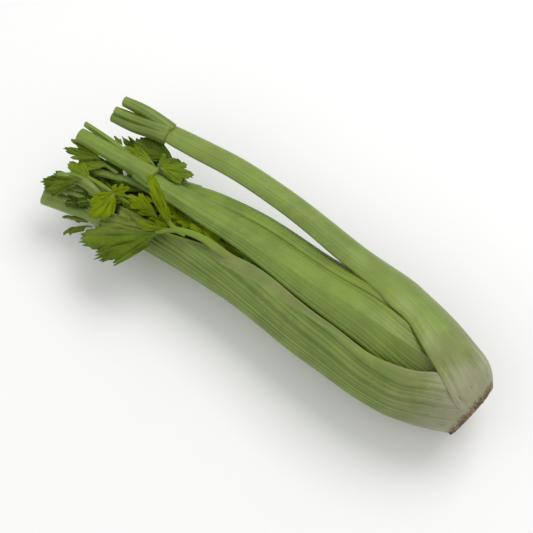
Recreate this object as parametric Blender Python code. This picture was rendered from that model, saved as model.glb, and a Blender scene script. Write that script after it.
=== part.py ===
"""Head of celery lying on its side, as cut and trimmed for sale.

The stalks grow from a short stem plate, the crown, at the butt (+X) and run towards the tops (-X), where
each ends in a node and a few cut branches. Leaves grow from the nodes and from the thin stalks of the heart.

Tables are in millimetres and degrees, in the head's own coordinates: the distance x along the head, the
distance r out from the line through its middle, and the angle phi round that line, 0 straight up and rising
towards -Y. The scene is in metres, with +Z up and the head resting on z = 0.
"""

import math
from dataclasses import dataclass

import bmesh
import bpy
import numpy as np

MM = 0.001

# The line through the middle of the head: x, y, z.
MIDDLE = (
    (176, 2, 40),
    (165, 4, 41),
    (150, 4.5, 42),
    (128, 6.5, 43),
    (100, 7, 44),
    (45, 7, 42),
    (-17, 14, 38.5),
    (-82, 14.5, 36),
    (-180, 15, 35),
)
# Puts the origin under the centre of the head's bounding box.
ORIGIN = np.array([-0.71, 12.49, 2.36])

# The butt is cut a little out of square: how far x leans per millimetre of y and of z.
CUT_LEAN = np.array([0.054, 0.145])
LEAN_FROM = 118.0
LEAN_FULL = 160.0

BASE_X = 169.2
INNER_BASE_X = 161.0
HEART_BASE_X = 122.0

CROWN_FACE_X = 171.2
CROWN_RIM_X = 169.6
CROWN_RADIUS = 24.2
CROWN_ROWS = (
    (126.0, 3.0),
    (140.0, 8.0),
    (154.0, 12.0),
    (164.0, 14.5),
    (168.4, 16.8),
    (CROWN_RIM_X, CROWN_RADIUS - 1.0),
    (CROWN_RIM_X + 0.8, CROWN_RADIUS),
    (CROWN_FACE_X, CROWN_RADIUS - 0.6),
)
CROWN_SIDES = 36
# Each gives the crown's outline a wave: how many round it, how deep, and how far turned in degrees.
CROWN_WAVES = ((2, 0.02, 40), (3, 0.025, 70), (5, 0.03, 10), (8, 0.012, 25))

# How far ahead a spine is read to find the way that it runs.
LOOK_AHEAD = 1.0

# A stalk's mesh: points across its back, millimetres between rings, and how much thinner its margins are.
ACROSS = 9
RING_STEP = 22.0
FEWEST_RINGS = 4
MARGIN_THINNING = 0.5

# A branch's mesh, and how far inside the node it starts.
BRANCH_SIDES = 8
BRANCH_STEPS = 3
BRANCH_SINK = 5.0

# A leaf's mesh: its blade's points and rings, how deep its lobes and teeth are cut, and how flat its stem is.
BLADE_ACROSS = 11
BLADE_STEPS = 4
BLADE_THICKNESS = 0.9
LOBE_DEPTH = 0.14
TOOTH_DEPTH = 0.1
STEM_FLATNESS = 0.85

GREEN_OUTER = (0.19, 0.29, 0.07)
GREEN_INNER = (0.24, 0.35, 0.09)
GREEN_HEART = (0.36, 0.42, 0.12)
GREEN_LEAF = (0.10, 0.18, 0.02)
BROWN_CUT = (0.16, 0.12, 0.07)


@dataclass(frozen=True)
class Stalk:
    """One stalk: rows of x, r, phi, turn of its back from phi, width round the back, wall, curl of the section."""

    name: str
    colour: tuple
    rows: tuple
    branches: tuple = ()


@dataclass(frozen=True)
class Leaf:
    """One leaf: stem rows of x, r, phi, thickness; then the blade's tip, its roll, half spread and side length."""

    name: str
    stem: tuple
    tip: tuple
    roll: float
    spread: float
    side: float = 0.75
    lobes: int = 3
    pleat: float = 0.05
    droop: float = 0.12


STALKS = (
    Stalk(
        "outer_stalk_right",
        GREEN_OUTER,
        (
            (BASE_X, 25.2, -38, 0, 51, 4.6, 116),
            (160, 29.8, -38, 0, 60, 5.4, 116),
            (147, 35.0, -38, 0, 70, 6.0, 116),
            (125, 41.6, -46, 0, 67, 6.0, 96),
            (100, 46.0, -52, 8, 52, 6.0, 104),
            (72, 48.0, -58, 20, 38, 6.0, 115),
            (34, 52.5, -60, 28, 32, 5.6, 128),
            (-19, 56.0, -60, 31, 30, 5.4, 134),
            (-64, 59.5, -60, 31, 29, 5.2, 138),
            (-106, 58.5, -59, 31, 28, 5.6, 142),
            (-114, 58.0, -58, 31, 29, 6.4, 150),
        ),
        (
            ((-112, 56.0, -56, 8), (-132, 56.5, -54, 7.0), (-154, 58.0, -53, 6.4)),
            ((-112, 52.0, -56, 8), (-134, 50.0, -54.5, 6.2), (-158, 48.5, -53.5, 5.6)),
            ((-112, 49.0, -57, 8), (-134, 44.5, -57, 6.2), (-158, 42.0, -57.5, 5.8)),
        ),
    ),
    Stalk(
        "outer_stalk_left",
        GREEN_OUTER,
        (
            (BASE_X, 25.2, 76.5, 0, 48.5, 4.6, 111),
            (160, 29.8, 76.5, 0, 57, 5.4, 111),
            (147, 35.2, 76.5, 0, 67, 6.0, 111),
            (125, 41.6, 76, 0, 68, 6.4, 100),
            (100, 43.0, 80, 0, 64, 6.4, 98),
            (60, 37.4, 78, 0, 58, 6.2, 104),
            (0, 33.8, 76, 0, 56, 6.0, 112),
            (-30, 33.4, 79, 0, 47, 5.8, 112),
            (-60, 33.4, 82, 0, 36, 5.6, 112),
            (-100, 33.4, 85, 0, 28, 5.4, 120),
            (-130, 33.2, 86, 0, 25, 5.8, 130),
            (-138, 33.0, 86, 0, 26, 6.4, 135),
        ),
        (
            ((-136, 27.5, 94, 9), (-155, 31.0, 96, 8.6), (-175, 33.5, 97, 8.4)),
            ((-136, 26.5, 82, 8), (-155, 28.5, 80, 6.6), (-176, 30.0, 77, 6.0)),
            ((-136, 26.0, 70, 7), (-150, 25.5, 58, 5.4), (-167, 26.0, 48, 4.6)),
        ),
    ),
    Stalk(
        "outer_stalk_under",
        GREEN_OUTER,
        (
            (BASE_X, 25.2, 156, 0, 18.5, 4.6, 42),
            (160, 29.8, 156, 0, 22, 5.4, 42),
            (147, 35.2, 156, 0, 27, 6.0, 44),
            (125, 42.0, 153.5, 0, 38, 6.4, 80),
            (100, 43.5, 153, 0, 40, 6.4, 86),
            (60, 40.0, 156, 0, 38, 6.0, 90),
            (0, 37.5, 157.5, 0, 35, 5.8, 100),
            (-60, 35.5, 158, 0, 32, 5.6, 108),
            (-100, 35.0, 157, 0, 28, 5.4, 116),
            (-118, 35.0, 156, 0, 28, 6.4, 130),
        ),
        (
            ((-115, 30.0, 148, 8), (-135, 31.0, 142, 7.0), (-160, 32.0, 136, 6.4)),
            ((-115, 29.5, 164, 8), (-135, 29.6, 168, 7.4), (-164, 29.4, 172, 7.0)),
        ),
    ),
    Stalk(
        "outer_stalk_back",
        GREEN_OUTER,
        (
            (BASE_X, 25.2, -140, 0, 33, 4.6, 74),
            (160, 29.8, -140, 0, 38, 5.4, 74),
            (147, 35.2, -140, 0, 45, 6.0, 76),
            (125, 42.0, -141, 0, 49, 6.4, 86),
            (100, 43.8, -142, 0, 47, 6.4, 90),
            (60, 40.5, -144, 0, 42, 6.0, 94),
            (0, 38.5, -146, 0, 38, 5.8, 104),
            (-60, 37.0, -148, 0, 33, 5.6, 110),
            (-98, 36.0, -148, 0, 29, 5.4, 118),
            (-108, 35.8, -148, 0, 30, 6.4, 132),
        ),
        (
            ((-105, 30.8, -157, 8), (-128, 30.6, -162, 7.2), (-158, 30.4, -166, 6.8)),
            ((-105, 31.0, -141, 8), (-128, 33.0, -136, 6.8), (-150, 35.5, -131, 6.2)),
        ),
    ),
    Stalk(
        "inner_stalk_middle",
        GREEN_INNER,
        (
            (INNER_BASE_X, 21.0, 18, 0, 26, 4.4, 76),
            (140, 29.6, 18, 0, 34, 5.0, 80),
            (120, 34.2, 17, 0, 37, 5.4, 90),
            (104, 37.6, 13, 0, 37, 5.6, 98),
            (75, 38.0, 4, 0, 38, 5.6, 108),
            (50, 35.5, -3, 0, 37, 5.4, 114),
            (0, 33.0, -10, 0, 34, 5.2, 122),
            (-50, 32.0, -14, 0, 29, 5.2, 126),
            (-96, 31.5, -18, 0, 22, 5.2, 132),
            (-108, 31.5, -19, 0, 22, 6.0, 140),
        ),
        (
            ((-106, 27.0, -19, 13), (-135, 28.5, -20, 12.0), (-169, 30.0, -22, 11.4)),
            ((-106, 27.0, -31, 7), (-135, 29.5, -38, 5.0), (-171, 30.5, -42, 3.8)),
        ),
    ),
    Stalk(
        "inner_stalk_behind",
        GREEN_INNER,
        (
            (INNER_BASE_X, 21.0, -54, 0, 25, 4.4, 74),
            (140, 29.8, -55, 0, 32, 5.0, 76),
            (120, 34.2, -56, 0, 34, 5.4, 74),
            (95, 36.5, -60, 0, 33, 5.4, 78),
            (50, 34.8, -67, 0, 33, 5.2, 104),
            (0, 34.0, -68, 0, 32, 5.0, 116),
            (-40, 33.8, -67, 0, 28, 5.0, 122),
            (-52, 34.2, -66, 0, 28, 6.0, 134),
        ),
        (
            ((-50, 30.5, -58, 8), (-80, 33.5, -53, 7.0), (-112, 34.0, -54, 6.0)),
            ((-50, 29.5, -72, 8), (-90, 30.5, -78, 6.6), (-130, 31.0, -84, 5.6)),
        ),
    ),
    Stalk(
        "inner_stalk_back",
        GREEN_INNER,
        (
            (INNER_BASE_X, 21.0, -114, 0, 19, 4.4, 54),
            (140, 29.8, -114, 0, 24, 5.0, 50),
            (120, 34.0, -114, 0, 26, 5.2, 48),
            (95, 35.0, -113, 0, 24, 5.2, 62),
            (50, 32.0, -113, 0, 18, 4.8, 86),
            (0, 31.6, -113, 0, 17, 4.6, 100),
            (-60, 32.0, -110, 0, 16, 4.4, 116),
            (-92, 32.5, -108, 0, 15, 4.4, 124),
            (-100, 32.5, -107, 0, 16, 5.2, 134),
        ),
        (
            ((-98, 29.5, -101, 6), (-120, 31.0, -100, 5.4), (-146, 32.0, -99, 5.0)),
            ((-98, 29.5, -113, 6), (-120, 31.0, -116, 5.4), (-140, 32.0, -118, 5.0)),
        ),
    ),
    Stalk(
        "inner_stalk_low",
        GREEN_INNER,
        (
            (INNER_BASE_X, 21.0, 122, 0, 22, 4.4, 60),
            (140, 29.8, 122, 0, 28, 5.0, 58),
            (120, 34.2, 122, 0, 30, 5.2, 56),
            (95, 34.2, 122, 0, 27, 5.2, 70),
            (50, 29.0, 125, 0, 20, 4.4, 90),
            (0, 26.6, 126, 0, 17, 4.2, 104),
            (-60, 29.0, 124, 0, 16, 4.2, 112),
            (-104, 31.0, 122, 0, 15, 4.4, 124),
            (-112, 31.0, 122, 0, 16, 5.2, 134),
        ),
        (
            ((-110, 28.0, 117, 5.6), (-128, 29.5, 113, 5.0), (-148, 31.0, 110, 4.6)),
            ((-110, 28.0, 127, 5.6), (-130, 29.0, 126, 5.0), (-154, 29.5, 123, 4.6)),
        ),
    ),
    Stalk(
        "heart_stalk_front",
        GREEN_HEART,
        (
            (HEART_BASE_X, 13.0, 96, 0, 11, 3.4, 70),
            (90, 20.5, 94, 0, 17, 3.8, 80),
            (40, 23.5, 92, 0, 20, 3.8, 96),
            (-20, 23.6, 90, 0, 17, 3.6, 110),
            (-80, 23.0, 94, 0, 12, 3.4, 125),
            (-128, 20.0, 100, 0, 8, 2.6, 140),
        ),
    ),
    Stalk(
        "heart_stalk_top",
        GREEN_HEART,
        (
            (HEART_BASE_X, 13.0, 24, 0, 11, 3.4, 70),
            (90, 21.0, 26, 0, 17, 3.8, 80),
            (40, 22.0, 22, 0, 18, 3.8, 96),
            (-20, 19.5, 14, 0, 15, 3.6, 110),
            (-70, 19.5, 2, 0, 11, 3.4, 125),
            (-109, 19.5, -9, 0, 8, 2.8, 135),
            (-150, 19.5, 20, 0, 7, 2.2, 140),
        ),
    ),
    Stalk(
        "heart_stalk_behind",
        GREEN_HEART,
        (
            (HEART_BASE_X, 13.0, -48, 0, 11, 3.4, 70),
            (90, 21.5, -46, 0, 17, 3.8, 80),
            (40, 23.0, -48, 0, 20, 3.8, 96),
            (-20, 22.6, -50, 0, 17, 3.6, 110),
            (-80, 21.5, -56, 0, 12, 3.4, 125),
            (-136, 20.0, -54, 0, 8, 2.6, 140),
        ),
    ),
    Stalk(
        "heart_stalk_back",
        GREEN_HEART,
        (
            (HEART_BASE_X, 13.0, -120, 0, 11, 3.4, 70),
            (90, 21.5, -118, 0, 17, 3.8, 80),
            (40, 24.0, -116, 0, 20, 3.8, 96),
            (-20, 24.0, -112, 0, 17, 3.6, 110),
            (-80, 23.5, -112, 0, 12, 3.4, 125),
            (-142, 24.0, -108, 0, 8, 2.6, 140),
        ),
    ),
    Stalk(
        "heart_stalk_low",
        GREEN_HEART,
        (
            (HEART_BASE_X, 13.0, 168, 0, 11, 3.4, 70),
            (90, 21.5, 168, 0, 17, 3.8, 80),
            (40, 24.5, 170, 0, 20, 3.8, 96),
            (-20, 24.0, 174, 0, 17, 3.6, 110),
            (-80, 23.0, 178, 0, 12, 3.4, 125),
            (-132, 19.0, 174, 0, 8, 2.6, 140),
        ),
    ),
)

LEAVES = (
    Leaf(
        "leaf_large",
        ((-31, 36.4, 37, 3.2), (-50, 38.0, 37, 3.0), (-72, 38.5, 38, 2.6)),
        (-126, 52, 79),
        -18,
        35,
    ),
    Leaf(
        "leaf_upright",
        ((-31, 33.8, 12, 2.6), (-52, 38.0, 16, 2.4), (-72, 41.5, 18, 2.0)),
        (-104, 51, -4),
        70,
        22,
        0.5,
    ),
    Leaf(
        "leaf_side",
        ((-46, 40.6, 37, 2.2), (-62, 42.5, 35, 2.0), (-74, 43.0, 36, 1.8)),
        (-95, 44.5, 46),
        0,
        30,
        0.7,
    ),
    Leaf(
        "leaf_bright",
        ((-88, 22.0, 18, 2.2), (-102, 24.0, 36, 2.0), (-114, 26.5, 48, 1.8)),
        (-133, 32, 62),
        -10,
        56,
        0.8,
    ),
    Leaf(
        "leaf_tuft",
        ((-80, 21.6, -2, 2.0), (-98, 25.5, 10, 1.8), (-112, 30.0, 22, 1.6)),
        (-125, 35, 26),
        20,
        55,
        0.8,
    ),
    Leaf(
        "leaf_tip_upper",
        ((-130, 21.8, 6, 2.0), (-142, 22.5, 14, 1.8), (-152, 22.5, 16, 1.6)),
        (-175, 20, 12),
        -12,
        48,
        0.85,
    ),
    Leaf(
        "leaf_tip_lower",
        ((-130, 14.0, 52, 2.0), (-142, 14.0, 46, 1.8), (-150, 14.5, 42, 1.6)),
        (-172, 16, 40),
        0,
        40,
        0.85,
    ),
    Leaf(
        "leaf_dark_inside",
        ((-84, 10.0, 20, 2.4), (-92, 10.0, 16, 2.2), (-100, 10.0, 12, 2.0)),
        (-134, 8, 26),
        0,
        34,
        0.8,
    ),
    Leaf(
        "leaf_behind_dark",
        ((-86, 36.6, -76, 2.4), (-96, 37.4, -72, 2.2), (-104, 37.8, -69, 2.0)),
        (-137, 36.5, -66),
        30,
        34,
        0.85,
    ),
    Leaf(
        "leaf_behind_light",
        ((-68, 36.6, -38, 2.4), (-78, 38.4, -40, 2.2), (-86, 39.6, -42, 2.0)),
        (-115, 38.6, -46),
        12,
        30,
        0.85,
    ),
    Leaf(
        "leaf_behind_small",
        ((-98, 25.0, -70, 2.0), (-112, 26.0, -70, 1.8), (-120, 26.5, -70, 1.6)),
        (-143, 28, -70),
        12,
        32,
        0.8,
    ),
    Leaf(
        "leaf_heart_near",
        ((4, 23.4, 20, 2.0), (-8, 23.4, 20, 1.8), (-18, 23.4, 20, 1.6)),
        (-46, 24.0, 24),
        -14,
        18,
        0.8,
    ),
    Leaf(
        "leaf_heart_far",
        ((-46, 21.6, 40, 2.0), (-54, 22.4, 38, 1.8), (-60, 23.2, 36, 1.6)),
        (-88, 25, 32),
        -20,
        26,
        0.8,
    ),
    Leaf(
        "leaf_under_tip",
        ((-120, 37.0, 110, 2.0), (-134, 38.5, 112, 1.8), (-142, 39.0, 113, 1.6)),
        (-160, 46, 118),
        70,
        48,
        0.8,
    ),
    Leaf(
        "leaf_back",
        ((-100, 35.5, -104, 2.4), (-112, 36.5, -104, 2.2), (-120, 37.5, -104, 2.0)),
        (-158, 40, -100),
        -95,
        40,
        0.85,
    ),
    Leaf(
        "leaf_back_low",
        ((-112, 14.0, -150, 2.2), (-124, 13.0, -160, 2.0), (-132, 13.0, -165, 1.8)),
        (-168, 14, -178),
        180,
        34,
        0.85,
    ),
)


def smooth(rows, x):
    """The other columns of a table at x, on a smooth curve through its rows."""
    table = np.array(sorted(rows), dtype=float)
    keys = table[:, 0]
    values = table[:, 1:]
    slopes = np.gradient(values, keys, axis=0)
    low = int(np.clip(np.searchsorted(keys, x) - 1, 0, len(keys) - 2))
    span = keys[low + 1] - keys[low]
    t = (x - keys[low]) / span
    ease = t * t * (3 - 2 * t)
    start_pull = t * (1 - t) ** 2 * span
    end_pull = t * t * (t - 1) * span
    blend = values[low] * (1 - ease) + values[low + 1] * ease
    return blend + start_pull * slopes[low] + end_pull * slopes[low + 1]


def out_from(phi):
    """The direction that points away from the middle line at an angle."""
    angle = math.radians(phi)
    return np.array([0.0, -math.sin(angle), math.cos(angle)])


def spot(x, r, phi):
    """A point of the head, from its place along, out from and round the middle line."""
    y, z = smooth(MIDDLE, x)
    return np.array([x, y, z]) + r * out_from(phi)


def leaned(point):
    """The point after the butt's slant is added."""
    y, z = smooth(MIDDLE, point[0])
    amount = np.clip((point[0] - LEAN_FROM) / (LEAN_FULL - LEAN_FROM), 0, 1)
    shift = amount * (CUT_LEAN @ np.array([point[1] - y, point[2] - z]))
    return point + np.array([shift, 0.0, 0.0])


def unit(vector):
    """The vector at length 1."""
    return vector / np.linalg.norm(vector)


def section(width, wall, curl):
    """Sideways and outward offsets round a stalk's section: its back from margin to margin, then its inside."""
    half = math.radians(curl) / 2
    radius = width / (2 * half)
    across = np.linspace(-1, 1, ACROSS)
    angles = across * half
    walls = wall * (1 - MARGIN_THINNING * across**2)
    back = np.stack([radius * np.sin(angles), radius * (np.cos(angles) - 1)], axis=1)
    inwards = np.stack([np.sin(angles), np.cos(angles)], axis=1) * walls[:, None]
    return back, back - inwards


def loft(rings):
    """A closed mesh through rings that each hold a top row and then a bottom row, both running the same way."""
    bm = bmesh.new()
    grid = [[bm.verts.new(leaned(p) * MM - ORIGIN * MM) for p in ring] for ring in rings]
    count = len(grid[0])
    half = count // 2
    around = list(range(half)) + list(range(count - 1, half - 1, -1))
    for ring, following in zip(grid, grid[1:]):
        for here, there in zip(around, around[1:] + around[:1]):
            bm.faces.new((ring[here], ring[there], following[there], following[here]))
    for ring in (grid[0], grid[-1]):
        for i in range(half - 1):
            bm.faces.new((ring[i], ring[i + 1], ring[half + i + 1], ring[half + i]))
    bmesh.ops.recalc_face_normals(bm, faces=bm.faces)
    mesh = bpy.data.meshes.new("loft")
    bm.to_mesh(mesh)
    bm.free()
    return mesh


def heading(rows, x):
    """The way that a route of x, r and phi runs at x, towards the tops."""
    here = smooth(rows, x)
    ahead = smooth(rows, x - LOOK_AHEAD)
    return unit(spot(x - LOOK_AHEAD, ahead[0], ahead[1]) - spot(x, here[0], here[1]))


def stalk_ring(rows, x):
    """One ring of a stalk: the back row, then the inside row."""
    r, phi, turn, width, wall, curl = smooth(rows, x)
    along = heading(rows, x)
    facing = out_from(phi + turn)
    normal = unit(facing - along * (facing @ along))
    side = np.cross(normal, along)
    centre = spot(x, r, phi)
    back, inside = section(width, wall, curl)
    offsets = np.concatenate([back, inside])
    return centre + offsets[:, :1] * side + offsets[:, 1:] * normal


def stalk_mesh(rows):
    """The stalk from its base to its node."""
    ends = [row[0] for row in rows]
    steps = max(FEWEST_RINGS, round((max(ends) - min(ends)) / RING_STEP))
    stations = np.linspace(max(ends), min(ends), steps + 1)
    return loft([stalk_ring(rows, x) for x in stations])


def branch_mesh(rows):
    """A round branch along rows of x, r, phi and thickness, started a little inside the node."""
    upper = math.pi - math.pi / BRANCH_SIDES * (1 + 2 * np.arange(BRANCH_SIDES // 2))
    angles = np.concatenate([upper, -upper])
    circle = np.stack([np.cos(angles), np.sin(angles)], axis=1)
    rings = []
    for x in np.linspace(rows[0][0] + BRANCH_SINK, rows[-1][0], BRANCH_STEPS + 1):
        r, phi, thickness = smooth(rows, x)
        along = heading(rows, x)
        normal = unit(np.cross(along, (0.0, 1.0, 0.0)))
        side = np.cross(normal, along)
        offsets = thickness / 2 * circle
        rings.append(spot(x, r, phi) + offsets[:, :1] * side + offsets[:, 1:] * normal)
    return loft(rings)


def blade_rows(leaf):
    """The rings of a leaf's blade, from its stem to its toothed edge."""
    x, r, phi, thickness = leaf.stem[-1]
    base = spot(x, r, phi)
    tip = spot(*leaf.tip)
    length = np.linalg.norm(tip - base)
    forward = (tip - base) / length
    upright = np.array([0.0, 0.0, 1.0])
    level = unit(upright - forward * (upright @ forward))
    roll = math.radians(leaf.roll)
    up = level * math.cos(roll) + np.cross(forward, level) * math.sin(roll)
    side = np.cross(forward, up)
    across = np.linspace(-1, 1, BLADE_ACROSS)
    angles = across * math.radians(leaf.spread)
    scallops = 0.5 - 0.5 * np.cos(math.pi * leaf.lobes * (across + 1))
    teeth = TOOTH_DEPTH * (np.arange(BLADE_ACROSS) % 2)
    reach = (1 - (1 - leaf.side) * np.abs(across)) * (1 - LOBE_DEPTH * (1 - scallops)) - teeth
    ridge = leaf.pleat * np.cos(math.pi * leaf.lobes * across)
    rings = []
    for step in range(1, BLADE_STEPS + 1):
        part = step / BLADE_STEPS
        out = length * part * reach
        lift = length * (ridge * part - leaf.droop * part**2 + leaf.droop * part)
        middle = base + (
            (out * np.cos(angles))[:, None] * forward
            + (out * np.sin(angles))[:, None] * side
            + lift[:, None] * up
        )
        half = 0.5 * BLADE_THICKNESS * up
        rings.append(np.concatenate([middle + half, middle - half]))
    return rings


def leaf_mesh(leaf):
    """A whole leaf: a stem with a rounded section that widens into the blade."""
    blade = blade_rows(leaf)
    first = blade[0]
    up = unit(first[0] - first[BLADE_ACROSS])
    side = unit(first[BLADE_ACROSS - 1] - first[0])
    across = np.linspace(-1, 1, BLADE_ACROSS)
    bulge = np.sqrt(1 - (STEM_FLATNESS * across) ** 2)
    stem = []
    for x in np.linspace(leaf.stem[0][0], leaf.stem[-1][0], BRANCH_STEPS + 1):
        r, phi, thickness = smooth(leaf.stem, x)
        middle = spot(x, r, phi) + thickness / 2 * across[:, None] * side
        lift = thickness / 2 * bulge[:, None] * up
        stem.append(np.concatenate([middle + lift, middle - lift]))
    return loft(stem + blade)


def crown_mesh():
    """The stem plate: a tapering core inside the stalks and the lobed plate that was cut."""
    angles = np.linspace(0, 2 * math.pi, CROWN_SIDES, endpoint=False)
    half = CROWN_SIDES // 2
    order = list(range(half)) + list(range(CROWN_SIDES - 1, half - 1, -1))
    lobes = np.ones(CROWN_SIDES)
    for count, depth, turned in CROWN_WAVES:
        lobes += depth * np.cos(count * angles + math.radians(turned))
    rings = []
    for x, radius in CROWN_ROWS:
        y, z = smooth(MIDDLE, x)
        ring = np.stack(
            [
                np.full(CROWN_SIDES, x),
                y + radius * lobes * np.sin(angles),
                z + radius * lobes * np.cos(angles),
            ],
            axis=1,
        )
        rings.append(ring[order])
    return loft(rings)


def material(name, colour, roughness):
    """A plain Principled material."""
    made = bpy.data.materials.new(name)
    made.use_nodes = True
    shader = made.node_tree.nodes["Principled BSDF"]
    shader.inputs["Base Color"].default_value = (*colour, 1.0)
    shader.inputs["Roughness"].default_value = roughness
    shader.inputs["Metallic"].default_value = 0.0
    return made


def add_object(name, mesh, collection, surface=None):
    """A named object that holds the mesh, smooth shaded if it has a surface."""
    mesh.name = name
    made = bpy.data.objects.new(name, mesh)
    collection.objects.link(made)
    if surface:
        mesh.materials.append(surface)
        mesh.polygons.foreach_set("use_smooth", [True] * len(mesh.polygons))
    return made


def join_branches(stalk, made, helpers):
    """Grows each branch from the stalk's node, so that the stalk stays one solid."""
    for number, rows in enumerate(stalk.branches):
        name = f"{stalk.name}_branch_{number + 1}"
        branch = add_object(name, branch_mesh(rows), helpers)
        branch.hide_render = True
        branch.display_type = "WIRE"
        join = made.modifiers.new(f"branch_{number + 1}", "BOOLEAN")
        join.operation = "UNION"
        join.solver = "EXACT"
        join.object = branch


def new_collection(name):
    """An empty collection in the scene."""
    made = bpy.data.collections.new(name)
    bpy.context.scene.collection.children.link(made)
    return made


def main():
    """Clears the scene and builds the head."""
    for old in list(bpy.data.objects):
        bpy.data.objects.remove(old, do_unlink=True)
    head = new_collection("celery")
    helpers = new_collection("guides")
    add_object("crown", crown_mesh(), head, material("crown_cut", BROWN_CUT, 0.8))
    for stalk in STALKS:
        surface = material(f"{stalk.name}_skin", stalk.colour, 0.4)
        made = add_object(stalk.name, stalk_mesh(stalk.rows), head, surface)
        join_branches(stalk, made, helpers)
    for leaf in LEAVES:
        surface = material(f"{leaf.name}_skin", GREEN_LEAF, 0.5)
        add_object(leaf.name, leaf_mesh(leaf), head, surface)


main()
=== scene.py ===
"""Head of celery lying on its side: the finished look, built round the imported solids.

Lengths in the tables are millimetres in the head's own coordinates: the distance x along the head, the
distance r out from the line through its middle, and the angle phi round that line in degrees, 0 straight up
and rising towards -Y. Everything is placed in metres, with the head resting on z = 0.
"""

import logging
import math
from dataclasses import dataclass
from enum import Enum

import bpy
import numpy as np
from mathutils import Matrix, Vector, noise


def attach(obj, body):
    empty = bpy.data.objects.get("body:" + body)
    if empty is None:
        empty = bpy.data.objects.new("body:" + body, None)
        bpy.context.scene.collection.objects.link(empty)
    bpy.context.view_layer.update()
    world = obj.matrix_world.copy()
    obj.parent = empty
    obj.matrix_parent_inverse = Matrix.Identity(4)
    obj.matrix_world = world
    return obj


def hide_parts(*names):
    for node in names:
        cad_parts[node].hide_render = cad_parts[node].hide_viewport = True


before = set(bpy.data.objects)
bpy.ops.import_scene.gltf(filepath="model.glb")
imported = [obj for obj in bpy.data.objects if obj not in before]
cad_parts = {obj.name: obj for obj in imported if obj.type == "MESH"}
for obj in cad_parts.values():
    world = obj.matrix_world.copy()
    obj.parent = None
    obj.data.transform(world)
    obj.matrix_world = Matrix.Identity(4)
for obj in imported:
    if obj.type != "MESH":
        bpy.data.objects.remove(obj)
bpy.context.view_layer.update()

LOG = logging.getLogger("celery")

MM = 0.001
Rows = tuple[tuple[float, ...], ...]
Colour = tuple[float, float, float]
Span = tuple[float, float]
# A rounded rise on a surface: where it stands, how high it is, and half its width.
Crest = tuple[float, float, float]

# The line through the middle of the head: x, y, z.
MIDDLE: Rows = (
    (176, -1.0, 39.4),
    (165, 0.6, 40.1),
    (150, 2.8, 41.7),
    (128, 5.8, 43),
    (100, 7, 44),
    (45, 7, 42),
    (-17, 14, 38.5),
    (-82, 14.5, 36),
    (-180, 15, 35),
)
# The shift from the head's own coordinates to the shared frame, the same as the solids have.
ORIGIN = np.array([-0.71, 12.49, 2.36])
# The slant of the cut butt in y and z, and the stretch of x over which it comes in.
CUT_LEAN = np.array([0.165, 0.175])
LEAN_FROM = 118.0
LEAN_FULL = 160.0
# Where the outer, inner and heart stalks start.
BASE_X = 173.6
INNER_BASE_X = 161.0
HEART_BASE_X = 122.0
# How far ahead a route's direction is measured.
AHEAD = 1.0
# Points nearer than this, in metres, are the same point.
WELD = 2e-6


class Slot(Enum):
    """The record's material slots."""

    CROWN = "crown_cut"
    OUTER = "stalk_outer"
    INNER = "stalk_inner"
    HEART = "stalk_heart"
    LEAF = "leaf_green"
    YOUNG = "leaf_young"


def smooth(rows: Rows, x: np.ndarray) -> np.ndarray:
    """Reads a table on a smooth curve through its rows.

    Args:
        rows: The table, with the distance along the head in its first column.
        x: The distances to read it at.

    Returns:
        One row of the other columns for each distance.
    """
    table = np.array(sorted(rows), dtype=float)
    keys = table[:, 0]
    values = table[:, 1:]
    slopes = np.gradient(values, keys, axis=0)
    at = np.atleast_1d(np.asarray(x, dtype=float))
    low = np.clip(np.searchsorted(keys, at) - 1, 0, len(keys) - 2)
    span = (keys[low + 1] - keys[low])[:, None]
    t = (at - keys[low])[:, None] / span
    ease = t * t * (3 - 2 * t)
    pulls = t * (1 - t) ** 2 * span * slopes[low] + t * t * (t - 1) * span * slopes[low + 1]
    return values[low] * (1 - ease) + values[low + 1] * ease + pulls


def out_from(phi: np.ndarray) -> np.ndarray:
    """The directions that point away from the middle line at angles in degrees."""
    angle = np.radians(np.atleast_1d(phi))
    return np.stack([np.zeros_like(angle), -np.sin(angle), np.cos(angle)], axis=1)


def spot(x: np.ndarray, r: np.ndarray, phi: np.ndarray) -> np.ndarray:
    """Points of the head, from their places along, out from and round the middle line.

    Args:
        x: Distances along the head.
        r: Distances out from the middle line.
        phi: Angles round it, in degrees.

    Returns:
        One point for each, in the head's own coordinates.
    """
    along = np.atleast_1d(np.asarray(x, dtype=float))
    centre = np.concatenate([along[:, None], smooth(MIDDLE, along)], axis=1)
    return centre + np.atleast_1d(r)[:, None] * out_from(phi)


def placed(points: np.ndarray) -> np.ndarray:
    """Puts the head's own points, in millimetres, in the shared frame.

    Args:
        points: Points in the head's own coordinates.

    Returns:
        The points in metres, with the butt's slant added.
    """
    off = points[:, 1:] - smooth(MIDDLE, points[:, 0])
    amount = np.clip((points[:, 0] - LEAN_FROM) / (LEAN_FULL - LEAN_FROM), 0, 1)
    moved = points - ORIGIN
    moved[:, 0] += amount * (off @ CUT_LEAN)
    return moved * MM


def unit(vectors: np.ndarray) -> np.ndarray:
    """The vectors at length 1."""
    return vectors / np.linalg.norm(vectors, axis=-1, keepdims=True)


def rise(value: np.ndarray, low: float, high: float) -> np.ndarray:
    """A smooth step from 0 at low to 1 at high."""
    t = np.clip((value - low) / (high - low), 0, 1)
    return t * t * (3 - 2 * t)


def hump(value: np.ndarray, at: float | np.ndarray, half: float | np.ndarray) -> np.ndarray:
    """A smooth hump, 1 at its middle and about a third at half its width away."""
    return np.exp(-(((value - at) / half) ** 2))


def crest(value: np.ndarray, form: Crest, amount: float | np.ndarray = 1.0) -> np.ndarray:
    """A crest's height at each place, times an amount."""
    at, height, half = form
    return amount * height * hump(value, at, half)


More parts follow.
